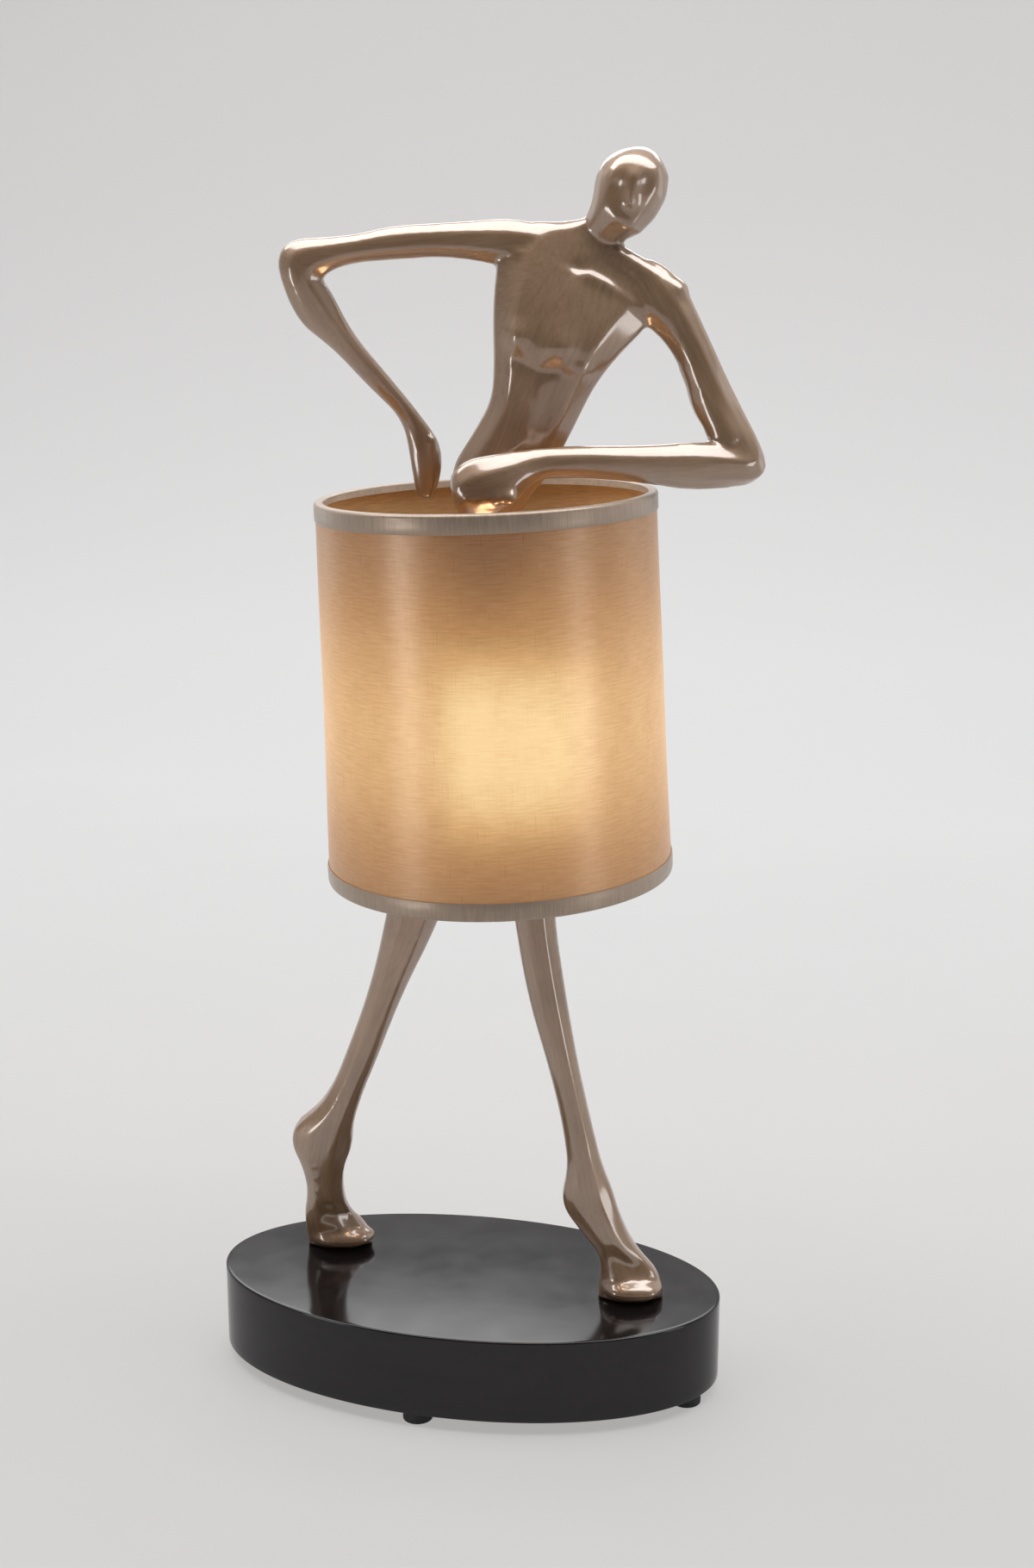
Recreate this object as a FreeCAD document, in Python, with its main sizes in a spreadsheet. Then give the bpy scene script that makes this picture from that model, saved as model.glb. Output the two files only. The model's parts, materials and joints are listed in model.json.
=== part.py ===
"""Figural table lamp: a slender cast figure on an oval lacquered plinth, wearing a drum shade.

Millimetres. The row frame is the plinth's: origin on the floor under the middle of the oval, +X along
its long axis, +Y to the back, +Z up. The figure faces the front corner of the plinth, so its own
frame, with U to its left hand, V to its back and W up, is the row frame turned by figure_turn about Z.
Right and left are the figure's own.
"""
import FreeCAD, Part
import math
import os
import Sketcher
from FreeCAD import Placement, Rotation, Vector

ORIGIN = Vector(0, 0, 0)
ACROSS, BACK, UP = Vector(1, 0, 0), Vector(0, 1, 0), Vector(0, 0, 1)

# Driving dimensions, millimetres and degrees: name, value.
DIMENSIONS = {
    # oval plinth and what is under it
    "plinth_half_length": 173.5,
    "plinth_half_width": 89.5,
    "plinth_height": 58,
    "plinth_wall": 16,
    "plinth_deck": 16,
    "plinth_edge": 1.2,
    "cover_thickness": 3,
    "cover_rim": 7,
    "fit_gap": 0.3,
    "thread_gap": 0.05,
    "pad_height": 9,
    "pad_radius": 10,
    "pad_inset": 13.5,
    "front_pad_x": -18,
    "side_pad_y": -20,
    "bushing_bore": 3.6,
    "bushing_radius": 6,
    "bushing_flange": 9,
    "bushing_lip": 2,
    "bushing_height": 20,
    "bushing_nut": 3,
    "screw_radius": 2,
    "screw_length": 13,
    "screw_head_radius": 3.6,
    "screw_head_height": 1.6,
    "stud_radius": 3,
    "stud_sink": 10,
    "stud_tail": 3,
    "washer_radius": 8,
    "washer_thickness": 1.6,
    "nut_radius": 5.8,
    "nut_height": 5,
    # where the figure stands and how it is turned
    "figure_turn": 11.5,
    "joint_drop": 10,
    "dowel_radius": 4,
    "dowel_length": 40,
    # the seat at the waist that carries the shade and the upper body
    "seat_u": 15.7,
    "seat_height": 545.5,
    "seat_half_width": 19.5,
    "seat_half_depth": 17,
    "shade_tilt": 2.1,
    "collar_radius": 14,
    "collar_thickness": 3,
    "boss_radius": 8,
    "boss_height": 5,
    "post_radius": 5,
    "post_sink": 24,
    "post_reach": 46,
    "running_gap": 0.05,
    "bush_wall": 2.5,
    "bush_height": 40,
    "grub_radius": 2.5,
    "grub_height": 14,
    "grub_length": 9,
    # drum shade
    "shade_top_radius": 107,
    "shade_bottom_radius": 112,
    "shade_height": 244,
    "shade_drop": 186,
    "shade_skin": 1,
    "trim_height": 11,
    "trim_skin": 0.8,
    "ring_wire": 2,
    "spider_wire": 2,
    "spider_arms": 3,
    "hub_radius": 13,
    "hub_play": 0.3,
    # lamp holder, in front of the hips
    "socket_u": 32,
    "socket_v": -62,
    "socket_height": 356,
    "cap_radius": 17,
    "cap_height": 16,
    "sheet_wall": 0.8,
    "shell_height": 46,
    "shell_lap": 4,
    "liner_wall": 0.5,
    "block_height": 29,
    "screw_shell_radius": 13.4,
    "screw_shell_height": 27,
    "screw_shell_wall": 0.4,
    "nipple_radius": 5,
    "nipple_length": 15,
    "locknut_radius": 9,
    "locknut_height": 4,
    "bracket_thickness": 3,
    "bracket_width": 32,
    "bracket_shift": 6,
    "bracket_rise": 36,
    "bracket_seat": 32,
    "bracket_screw_low": 10,
    "bracket_screw_pitch": 14,
    "block_core_radius": 9,
    "block_core_low": 10,
    "contact_thickness": 2,
    "nipple_wall": 2,
    "bracket_overhang": 2,
    "boss_margin": 4,
    "boss_back": 6,
    "knob_radius": 7,
    "knob_neck_radius": 4.2,
    "knob_neck": 2,
    "knob_length": 14,
    "knob_height": 20,
    "knob_reach": 24,
    "shaft_radius": 2,
    "shaft_sink": 8,
    # bulb
    "bulb_radius": 30,
    "bulb_neck_radius": 13.6,
    "bulb_height": 84,
    "glass_wall": 0.8,
    "bulb_base_radius": 13.3,
    "bulb_base_height": 24,
    "bulb_tip_radius": 5,
    "bulb_tip_height": 3,
    "bulb_flats": 24,
    # the wedge of the nose
    "nose_tip_u": 101,
    "nose_tip_v": -30,
    "nose_tip_w": 777,
    "nose_bridge_v": -24,
    "nose_bridge_w": 793,
    "nose_half_width": 4.8,
    "nose_wing_v": -19,
    "nose_root_v": -8,
}
# Latitudes of the bulb's rings of flats, degrees.
BULB_LATITUDES = range(-50, 90, 20)
# How far a cutting tool starts outside the face that it cuts.
OVERCUT = 1
# Longer than anything here.
FAR = 2000

# Sections of the castings along each limb: centre (u, v, w), half width across the front view,
# half depth from front to back. They become cells of the sheet, named LIMB_NUMBER_u and so on.
SECTIONS = {
    "pelvis": [
        (16, 0, 530, 25, 20),
        (17, 0, 508, 34, 23),
        (17, 1, 486, 32, 22),
        (17, 1, 468, 14, 14),
    ],
    "torso": [
        (15.2, 0, 590, 18.5, 16),
        (19.9, 0, 616, 26, 18),
        (33.7, 0, 637, 26.6, 20),
        (43.6, -1, 658, 27.7, 20),
        (50, -2, 680, 32.5, 21),
        (56, -3, 700, 39.6, 22),
        (63.5, -1, 719, 47, 20),
        (72, 1, 738, 52, 15),
        (77, 2, 749, 47, 12),
        (80.4, 3, 758.5, 28, 10),
        (84, 3, 766, 12, 9),
    ],
    "right_arm": [
        (48, 2, 756, 11, 10),
        (22, 2, 757, 13.6, 11),
        (-19, 4, 758, 10, 9.5),
        (-50, 5, 755.5, 9.4, 9),
        (-76, 6, 751.5, 9.2, 9),
        (-99, 8, 743, 15, 11),
        (-93.2, 10, 722, 12.8, 10),
        (-77, 15, 700, 8.8, 8),
        (-60.5, 20, 680.5, 7.2, 6.8),
        (-38.5, 27, 655, 6, 5.6),
        (-27.2, 29, 634, 9.5, 5.8),
        (-24.6, 29, 614, 9, 5.2),
        (-26, 28, 599, 4.8, 4),
    ],
    "left_arm": [
        (104, 2, 736, 15, 11),
        (124.5, 0, 718, 16.2, 13),
        (147.2, -3, 680, 12.2, 12),
        (161.7, -6, 650, 12.8, 12),
        (172, -9, 627, 16.2, 13),
        (141, -22, 624, 14.3, 11),
        (113, -33, 626, 11.8, 9.8),
        (68, -48, 628.6, 9.6, 8.4),
        (43, -55, 627.2, 9.8, 8.2),
        (28, -59, 621, 14.6, 11.5),
        (13, -61, 615.5, 17.4, 13.5),
        (0, -62, 611, 14.2, 11),
        (-5.5, -62, 610, 7.5, 6),
    ],
    "head": [
        (78, 4, 748, 13, 10),
        (84, 3, 760, 13, 10.5),
        (88, 0, 767, 14, 13),
        (93.5, -3, 773, 18, 18),
        (98, -1, 780, 20.8, 22.5),
        (102.5, 1, 790, 22.5, 26),
        (106, 3, 800.5, 20, 24),
        (107.8, 4, 809, 12.5, 16),
        (108.2, 4, 813, 5, 7),
    ],
    "right_leg": [
        (6, 2, 512, 22, 20),
        (-3, 4, 470, 24, 22),
        (-18, 11, 400, 22, 20),
        (-40, 20, 312, 16.2, 16),
        (-60.8, 27, 252, 11, 12),
        (-74, 31, 216, 10.6, 11.5),
        (-84.4, 34, 190, 11, 12),
        (-92, 36, 173, 13.6, 12.5),
        (-101.5, 38, 156, 20.4, 12.5),
        (-103, 41, 132, 15.6, 12),
        (-102, 44, 98, 14.8, 12),
        (-97, 47, 80, 19.6, 12),
    ],
    "left_leg": [
        (28, 1, 512, 22, 20),
        (36, -1, 470, 23, 21),
        (41, -5, 400, 19, 18),
        (46, -11, 322, 13.2, 14),
        (56, -15, 264, 11.7, 12.5),
        (65, -18, 225, 9.9, 11.5),
        (74, -20, 184, 10, 11),
        (78.5, -22, 158, 12.2, 11.5),
        (80, -23, 141, 16.6, 11.5),
        (87, -25, 124, 15.2, 11.5),
        (98, -26, 104, 12.6, 11.5),
        (107, -28, 82, 19.4, 11.5),
    ],
}
# Flat sides round each casting, and the power of the oval that its ridges lie on: 2 is an ellipse, and
# more is nearer to a box.
FORMS = {
    "pelvis": (10, 2.2),
    "torso": (10, 2.3),
    "head": (10, 2.2),
    "right_arm": (8, 2.8),
    "left_arm": (8, 2.8),
    "right_leg": (8, 2.2),
    "left_leg": (8, 2.2),
}
SOLES = {"right_leg": (-93, 49, 23.6, 12), "left_leg": (110.5, -30, 22, 11.5)}
MEASURES = ("u", "v", "w", "half_width", "half_depth")


class Length:
    """A size of the sheet, or a sum made of them: its value now, and the expression that gives it."""

    def __init__(self, value, text=None):
        self.value = float(value)
        self.text = text or f"{float(value):g}"

    def join(self, other, sign, result):
        return Length(result, f"({self.text} {sign} {other.text})")

    def __add__(self, other):
        other = length(other)
        return self.join(other, "+", self.value + other.value)

    def __sub__(self, other):
        other = length(other)
        return self.join(other, "-", self.value - other.value)

    def __mul__(self, other):
        other = length(other)
        return self.join(other, "*", self.value * other.value)

    def __truediv__(self, other):
        other = length(other)
        return self.join(other, "/", self.value / other.value)

    def __radd__(self, other):
        return length(other) + self

    def __rsub__(self, other):
        return length(other) - self

    def __rmul__(self, other):
        return length(other) * self

    def __neg__(self):
        return Length(-self.value, f"(-{self.text})")


def length(number):
    return number if isinstance(number, Length) else Length(number)


def larger(one, other):
    return Length(max(one.value, other.value), f"max({one.text}; {other.text})")


def smaller(one, other):
    return Length(min(one.value, other.value), f"min({one.text}; {other.text})")


doc = FreeCAD.newDocument("FiguralTableLamp")
sheet = doc.addObject("Spreadsheet::Sheet", "Dimensions")
nodes = []


def fill_sheet():
    """Writes every driving dimension into the sheet, under its own name."""
    cells = dict(DIMENSIONS)
    for limb, stations in SECTIONS.items():
        for number, station in enumerate(stations):
            cells.update({f"{limb}_{number}_{what}": size for what, size in zip(MEASURES, station)})
    for limb, sole in SOLES.items():
        names = (f"{limb}_sole_{what}" for what in ("u", "v", "half_width", "half_depth"))
        cells.update(zip(names, sole))
    for row, (name, size) in enumerate(cells.items(), start=1):
        sheet.set(f"A{row}", name)
        sheet.set(f"B{row}", str(size))
        sheet.setAlias(f"B{row}", name)
    doc.recompute()


class Sizes:
    """Reads the sheet: d.plinth_wall is the Length of that cell."""

    def __getattr__(self, name):
        return Length(sheet.get(name), f"Dimensions.{name}")


d = Sizes()


def station(limb, number):
    return [getattr(d, f"{limb}_{number}_{what}").value for what in MEASURES]


# ---------------------------------------------------------------- making pieces

def keep(piece, label, placement=None):
    """Names a finished piece and puts it in its place."""
    piece.Label = label
    if placement is not None:
        piece.Placement = placement
    nodes.append(piece)
    return piece


def new_body(name):
    return doc.addObject("PartDesign::Body", name)


def new_sketch(body, name, role, offset=None):
    """A sketch on one of the body's origin planes, moved along its normal by offset."""
    plane = next(f for f in body.Origin.OriginFeatures if f.Role == role)
    sketch = body.newObject("Sketcher::SketchObject", name)
    sketch.AttachmentSupport = [(plane, "")]
    sketch.MapMode = "FlatFace"
    if offset is not None:
        sketch.setExpression(".AttachmentOffset.Base.z", offset.text)
    return sketch


def pin_point(sketch, geometry, which, x, y):
    """Ties a point of a line or circle to its coordinates: which is 1 for its start, 3 for its centre."""
    for axis, size, onto in (("DistanceX", x, -2), ("DistanceY", y, -1)):
        if size.value == 0:
            sketch.addConstraint(Sketcher.Constraint("PointOnObject", geometry, which, onto))
            continue
        index = sketch.addConstraint(Sketcher.Constraint(axis, -1, 1, geometry, which, size.value))
        sketch.setExpression(f"Constraints[{index}]", size.text)


def draw_outline(sketch, corners):
    """A closed outline of straight lines through corners, each an (x, y) pair of Lengths."""
    corners = [(length(x), length(y)) for x, y in corners]
    points = [Vector(x.value, y.value, 0) for x, y in corners]
    count = len(points)
    for i in range(count):
        sketch.addGeometry(Part.LineSegment(points[i], points[(i + 1) % count]), False)
    for i in range(count):
        sketch.addConstraint(Sketcher.Constraint("Coincident", i, 2, (i + 1) % count, 1))
    for i, (x, y) in enumerate(corners):
        pin_point(sketch, i, 1, x, y)


def draw_circle(sketch, x, y, radius):
    """A circle about (x, y)."""
    x, y = length(x), length(y)
    circle = sketch.addGeometry(Part.Circle(Vector(x.value, y.value, 0), UP, radius.value), False)
    index = sketch.addConstraint(Sketcher.Constraint("Radius", circle, radius.value))
    sketch.setExpression(f"Constraints[{index}]", radius.text)
    pin_point(sketch, circle, 3, x, y)


def draw_oval(sketch, half_length, half_width):
    """An ellipse about the sketch's origin, its long axis along X."""
    oval = sketch.addGeometry(Part.Ellipse(ORIGIN, half_length.value, half_width.value), False)
    sketch.exposeInternalGeometry(oval)
    sketch.addConstraint(Sketcher.Constraint("Coincident", oval, 3, -1, 1))
    long_axis, short_axis = oval + 1, oval + 2
    sketch.addConstraint(Sketcher.Constraint("Horizontal", long_axis))
    for line, half in ((long_axis, half_length), (short_axis, half_width)):
        full = 2 * half
        index = sketch.addConstraint(Sketcher.Constraint("Distance", line, full.value))
        sketch.setExpression(f"Constraints[{index}]", full.text)


def pad(body, sketch, height, down=False):
    feature = body.newObject("PartDesign::Pad", f"{sketch.Name}_pad")
    feature.Profile = sketch
    feature.setExpression("Length", length(height).text)
    feature.Reversed = down
    body.Tip = feature
    return feature


def pocket(body, sketch, depth, upward=False):
    feature = body.newObject("PartDesign::Pocket", f"{sketch.Name}_pocket")
    feature.Profile = sketch
    feature.setExpression("Length", length(depth).text)
    feature.Reversed = upward
    body.Tip = feature
    return feature


def turned(name, corners):
    """A body turned about its own Z from a half profile: corners are (radius, height) pairs."""
    body = new_body(name)
    sketch = new_sketch(body, f"{name}_profile", "XZ_Plane")
    draw_outline(sketch, corners)
    feature = body.newObject("PartDesign::Revolution", f"{name}_turning")
    feature.Profile = sketch
    feature.ReferenceAxis = (sketch, ["V_Axis"])
    feature.Angle = 360
    body.Tip = feature
    return body


def tube_profile(inner, outer, low, high):
    return [(inner, low), (outer, low), (outer, high), (inner, high)]


def copies(label, master, placements, frame=None):
    """One node of several equal pieces, each a copy of the master."""
    doc.recompute()
    shapes = []
    for placement in placements:
        shape = master.Shape.copy()
        shape.Placement = placement.multiply(shape.Placement)
        shapes.append(shape)
    group = doc.addObject("Part::Feature", f"{label}_group")
    group.Shape = Part.makeCompound(shapes)
    return keep(group, label, frame)


# ---------------------------------------------------------------- cast limbs

def section_wire(centre, along, half_width, half_depth, form):
    """A limb's section across its run: flat sides that meet in ridges, as the casting has.

    Half width lies across the front view and half depth from front to back.
    """
    sides, squareness = form
    along = along.normalize()
    depth = (BACK - along * BACK.dot(along)).normalize()
    width = depth.cross(along).normalize()
    ridges = []
    for i in range(sides):
        angle = 2 * math.pi * (i + 0.5) / sides
        x, y = math.cos(angle), math.sin(angle)
        reach = (abs(x) ** squareness + abs(y) ** squareness) ** (-1 / squareness)
        ridges.append((x * reach, y * reach))
    widest = max(x for x, y in ridges)
    deepest = max(y for x, y in ridges)
    points = [centre + width * (half_width * x / widest) + depth * (half_depth * y / deepest)
              for x, y in ridges]
    return Part.makePolygon(points + points[:1])


def limb(stations, form, ends=(None, None), planes=False):
    """A solid through the stations, square to the run at each.

    ends fix the run's first and last way. planes joins the sections by flat planes, not by curves.
    """
    centres = [Vector(*row[:3]) for row in stations]
    wires = []
    for i, row in enumerate(stations):
        before = centres[max(i - 1, 0)]
        after = centres[min(i + 1, len(centres) - 1)]
        along = after - before
        if i == 0 and ends[0] is not None:
            along = ends[0]
        if i == len(stations) - 1 and ends[1] is not None:
            along = ends[1]
        wires.append(section_wire(centres[i], Vector(along), row[3], row[4], form))
    solid, closed, degree = True, False, 2
    return Part.makeLoft(wires, solid, planes, closed, degree)


def stations_of(name):
    return [station(name, i) for i in range(len(SECTIONS[name]))]


def casting(label, shape, placement):
    """A cast piece: its form is free, so its shape is set from the sections."""
    solid = max(shape.Solids, key=lambda part: part.Volume)
    piece = doc.addObject("Part::Feature", f"{label}_casting")
    piece.Shape = solid
    return keep(piece, label, placement)


def half_space(level, above):
    """A block that fills everything above or below a level."""
    low = level if above else level - FAR
    return Part.makeBox(FAR, FAR, FAR, Vector(-FAR / 2, -FAR / 2, low))


# ---------------------------------------------------------------- plinth

def plinth():
    body = new_body("Plinth")
    outline = new_sketch(body, "plinth_outline", "XY_Plane", d.pad_height)
    draw_oval(outline, d.plinth_half_length, d.plinth_half_width)
    pad(body, outline, d.plinth_height)
    recess = new_sketch(body, "plinth_recess", "XY_Plane", d.pad_height)
    draw_oval(recess, d.plinth_half_length - d.plinth_wall, d.plinth_half_width - d.plinth_wall)
    pocket(body, recess, d.plinth_height - d.plinth_deck, upward=True)
    rebate = new_sketch(body, "cover_rebate", "XY_Plane", d.pad_height)
    inset = d.plinth_wall - d.cover_rim
    draw_oval(rebate, d.plinth_half_length - inset, d.plinth_half_width - inset)
    pocket(body, rebate, d.cover_thickness, upward=True)
    holes = new_sketch(body, "stud_holes", "XY_Plane", deck_level())
    for limb_name in SOLES:
        x, y = sole_place(limb_name)
        draw_circle(holes, x, y, d.stud_radius + d.fit_gap)
    pocket(body, holes, 2 * d.plinth_deck)
    pilot_depth = d.screw_length + d.thread_gap
    drill(body, "pilot_holes", cover_screw_places(), pilot_depth)
    inlet = new_sketch(body, "inlet_hole", "XZ_Plane")
    draw_circle(inlet, 0, inlet_height(), d.bushing_radius + d.thread_gap)
    pocket(body, inlet, 2 * d.plinth_half_width)
    doc.recompute()
    top = deck_level().value
    base = body.Tip
    edge = body.newObject("PartDesign::Chamfer", "plinth_edge")
    rims = [f"Edge{i + 1}" for i, e in enumerate(base.Shape.Edges)
            if e.BoundBox.ZMin > top - 0.01 and e.Length > d.plinth_half_length.value]
    edge.Base = (base, rims)
    edge.setExpression("Size", d.plinth_edge.text)
    body.Tip = edge
    return keep(body, "plinth")


def deck_level():
    """The height of the plinth's top face."""
    return d.pad_height + d.plinth_height


def inlet_height():
    return d.pad_height + d.bushing_height


def cosine(angle):
    return Length(math.cos(math.radians(angle.value)), f"cos({angle.text})")


def sine(angle):
    return Length(math.sin(math.radians(angle.value)), f"sin({angle.text})")


def sole_place(limb_name):
    """Where a sole's middle stands on the plinth, in the row frame."""
    u, v = getattr(d, f"{limb_name}_sole_u"), getattr(d, f"{limb_name}_sole_v")
    turn = d.figure_turn
    return u * cosine(turn) - v * sine(turn), u * sine(turn) + v * cosine(turn)


def cover_screw_places():
    """Four places on the rebate's ledge, round the oval."""
    ledge = (d.plinth_wall.value + d.plinth_wall.value - d.cover_rim.value) / 2
    half_length = d.plinth_half_length.value - ledge
    half_width = d.plinth_half_width.value - ledge
    angles = [math.radians(45 + 90 * i) for i in range(4)]
    return [Vector(half_length * math.cos(a), half_width * math.sin(a), 0) for a in angles]


def pad_places():
    """Four pads near the rim: two as seen from the front, two opposite them."""
    reach = d.plinth_half_width.value - d.pad_inset.value
    side = d.plinth_half_length.value - d.pad_inset.value
    front_x, side_y = d.front_pad_x.value, d.side_pad_y.value
    front = Vector(front_x, -reach * math.sqrt(1 - (front_x / side) ** 2), 0)
    right = Vector(side * math.sqrt(1 - (side_y / reach) ** 2), side_y, 0)
    return [front, right, -front, -right]


def under_plinth():
    """The cover plate in its rebate with its screws, and the rubber pads."""
    cover = new_body("Cover")
    outline = new_sketch(cover, "cover_outline", "XY_Plane", d.pad_height)
    inset = d.plinth_wall - d.cover_rim + d.fit_gap
    draw_oval(outline, d.plinth_half_length - inset, d.plinth_half_width - inset)
    pad(cover, outline, d.cover_thickness)
    drill(cover, "cover_holes", cover_screw_places(), d.cover_thickness)
    keep(cover, "bottom_cover")

    screw = turned("CoverScrew", screw_profile(d.screw_length))
    at_cover = [Placement(place, Rotation()) for place in cover_screw_places()]
    copies("cover_screws", screw, at_cover, Placement(UP * d.pad_height.value, Rotation()))

    rubber = turned("RubberPad", [(0, 0), (d.pad_radius, 0),
                                  (d.pad_radius, d.pad_height), (0, d.pad_height)])
    copies("rubber_feet", rubber, [Placement(place, Rotation()) for place in pad_places()])


def screw_profile(shank):
    """A pan head screw, head down, its shank pointing up from height 0."""
    return [(0, -d.screw_head_height), (d.screw_head_radius, -d.screw_head_height),
            (d.screw_head_radius, 0), (d.screw_radius, 0), (d.screw_radius, shank), (0, shank)]


def drill(body, name, places, depth):
    """Screw holes up into the underside of a body."""
    holes = new_sketch(body, name, "XY_Plane", d.pad_height)
    for place in places:
        draw_circle(holes, place.x, place.y, d.screw_radius + d.thread_gap)
    return pocket(body, holes, depth, upward=True)


def cord_inlet():
    """The bushing at the back, where a lead would enter, and the nut that holds it inside."""
    inner_wall = d.plinth_half_width - d.plinth_wall
    bushing = turned("CordBushing", [
        (d.bushing_bore, inner_wall - d.bushing_nut - d.bushing_lip),
        (d.bushing_radius, inner_wall - d.bushing_nut - d.bushing_lip),
        (d.bushing_radius, d.plinth_half_width),
        (d.bushing_flange, d.plinth_half_width),
        (d.bushing_flange, d.plinth_half_width + d.bushing_lip),
        (d.bushing_bore, d.plinth_half_width + d.bushing_lip),
    ])
    to_back = Placement(UP * inlet_height().value, Rotation(ACROSS, -90))
    keep(bushing, "cord_bushing", to_back)
    # the wall is slightly curved, so the nut stands off by the fit gap
    nut_top = inner_wall - d.fit_gap
    nut = turned("BushingNut", tube_profile(d.bushing_radius + d.thread_gap, d.bushing_flange,
                                            nut_top - d.bushing_nut, nut_top))
    keep(nut, "bushing_nut", to_back)


def leg_fixings():
    """Under each foot a stud through the deck, with a washer and a nut in the recess."""
    places = [sole_place(name) for name in SOLES]
    at_soles = [Placement(Vector(x.value, y.value, deck_level().value), Rotation()) for x, y in places]
    under_deck = -d.plinth_deck
    nut_low = under_deck - d.washer_thickness - d.nut_height
    stud = turned("LegStud", [(0, nut_low - d.stud_tail), (d.stud_radius, nut_low - d.stud_tail),
                              (d.stud_radius, d.stud_sink), (0, d.stud_sink)])
    copies("leg_studs", stud, at_soles)
    washer = turned("LegWasher", tube_profile(d.stud_radius + d.fit_gap, d.washer_radius,
                                              under_deck - d.washer_thickness, under_deck))
    copies("leg_washers", washer, at_soles)
    nut = hex_nut("LegNut", d.nut_radius, d.stud_radius + d.thread_gap, d.nut_height)
    copies("leg_nuts", nut, [place.multiply(Placement(UP * nut_low.value, Rotation())) for place in at_soles])


def hex_nut(name, corner_radius, bore, height):
    prism = doc.addObject("Part::Prism", f"{name}_prism")
    prism.Polygon = 6
    prism.setExpression("Circumradius", corner_radius.text)
    prism.setExpression("Height", height.text)
    return bored(prism, f"{name}_hole", bore, height, Placement())


def bored(base, name, radius, depth, placement):
    """Cuts a round hole, along the placement's Z, through a piece."""
    drill_bit = doc.addObject("Part::Cylinder", f"{name}_bit")
    drill_bit.setExpression("Radius", radius.text)
    drill_bit.setExpression("Height", length(depth).text)
    drill_bit.Placement = placement
    cut = doc.addObject("Part::Cut", name)
    cut.Base = base
    cut.Tool = drill_bit
    return cut


# ---------------------------------------------------------------- the figure

def figure_frame():
    return Placement(ORIGIN, Rotation(UP, d.figure_turn.value))


def seat_in_figure():
    """The seat's frame within the figure's: Z is the shade's axis, zero the top of the hips."""
    seat = Vector(d.seat_u.value, 0, d.seat_height.value)
    return Placement(seat, Rotation(BACK, -d.shade_tilt.value))


def seat_frame():
    return figure_frame().multiply(seat_in_figure())


def seat_station(height):
    """The section that the castings share at the waist, at a height above the seat."""
    centre = seat_in_figure().multVec(UP * height)
    return [*centre, d.seat_half_width.value, d.seat_half_depth.value]


def axis_way():
    return seat_in_figure().Rotation.multVec(UP)


def upright_rod(radius, low, high, at=ORIGIN):
    return Part.makeCylinder(radius, high - low, at + UP * low)


def seat_rod(radius, low, high):
    """A rod on the shade's axis, within the figure's frame."""
    rod = Part.makeCylinder(radius, high - low, UP * low)
    rod.Placement = seat_in_figure()
    return rod


def whole_leg(name):
    """A leg from the hip to the sole, which stands flat on the deck."""
    u, v, half_width, half_depth = (getattr(d, f"{name}_sole_{what}").value
                                    for what in ("u", "v", "half_width", "half_depth"))
    sole = [u, v, deck_level().value, half_width, half_depth]
    return limb(stations_of(name) + [sole], FORMS[name], (None, -UP))


def joint_level():
    """Where the legs are cast on to the hips: just under the lamp holder's pad."""
    return d.socket_height.value - d.joint_drop.value


def joint_place(name):
    """Where a leg is parted from the hips: on the leg's run, at the joint height."""
    level = joint_level()
    rows = stations_of(name)
    for upper, lower in zip(rows, rows[1:]):
        if upper[2] >= level >= lower[2]:
            share = (upper[2] - level) / (upper[2] - lower[2])
            above, below = Vector(*upper[:3]), Vector(*lower[:3])
            return above + (below - above) * share, (above - below).normalize()
    raise ValueError(f"{name} has no run at the joint height")


def dowel(name, radius, margin=0):
    """A rod along a leg's run, half in the hips and half in the leg."""
    place, way = joint_place(name)
    reach = d.dowel_length.value / 2 + margin
    return Part.makeCylinder(radius, 2 * reach, place - way * reach, way)


def lower_body():
    """The hips with the tops of both legs, the legs, and the dowels between them."""
    frame = figure_frame()
    gap = d.thread_gap.value
    level = joint_level()
    legs = {name: whole_leg(name) for name in SOLES}
    hips = limb([seat_station(0)] + stations_of("pelvis"), FORMS["pelvis"], (-axis_way(), None))
    for name, leg in legs.items():
        hips = hips.fuse(leg.common(half_space(level, above=True)))
    hips = hips.fuse(bracket_boss())
    hips = hips.cut(seat_rod(d.post_radius.value + gap, -d.post_sink.value, OVERCUT))
    for hole in bracket_screw_holes():
        hips = hips.cut(hole)
    for name, leg in legs.items():
        hole = dowel(name, d.dowel_radius.value + gap, gap)
        hips = hips.cut(hole)
        u, v = getattr(d, f"{name}_sole_u").value, getattr(d, f"{name}_sole_v").value
        stud_hole = upright_rod(d.stud_radius.value + gap, -OVERCUT, d.stud_sink.value + gap,
                                Vector(u, v, deck_level().value))
        leg = leg.common(half_space(level, above=False)).cut(hole).cut(stud_hole)
        casting(name, leg, frame)
    casting("pelvis", hips, frame)
    pins = doc.addObject("Part::Feature", "HipDowels")
    pins.Shape = Part.makeCompound([dowel(name, d.dowel_radius.value) for name in SOLES])
    keep(pins, "hip_dowels", frame)


def waist_hardware():
    """The post on the shade's axis, and the collar that the shade turns on."""
    seat = seat_frame()
    top = d.collar_thickness + d.boss_height + d.post_reach
    post = turned("CentrePost", [(0, -d.post_sink), (d.post_radius, -d.post_sink),
                                 (d.post_radius, top), (0, top)])
    keep(post, "centre_post", seat)
    bore = d.post_radius + d.thread_gap
    collar = turned("SeatCollar", [
        (bore, 0), (d.collar_radius, 0), (d.collar_radius, d.collar_thickness),
        (d.boss_radius, d.collar_thickness), (d.boss_radius, torso_level()), (bore, torso_level()),
    ])
    keep(collar, "seat_collar", seat)


def torso_level():
    """How far the torso's foot stands above the seat: on top of the collar's boss."""
    return d.collar_thickness + d.boss_height


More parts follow.
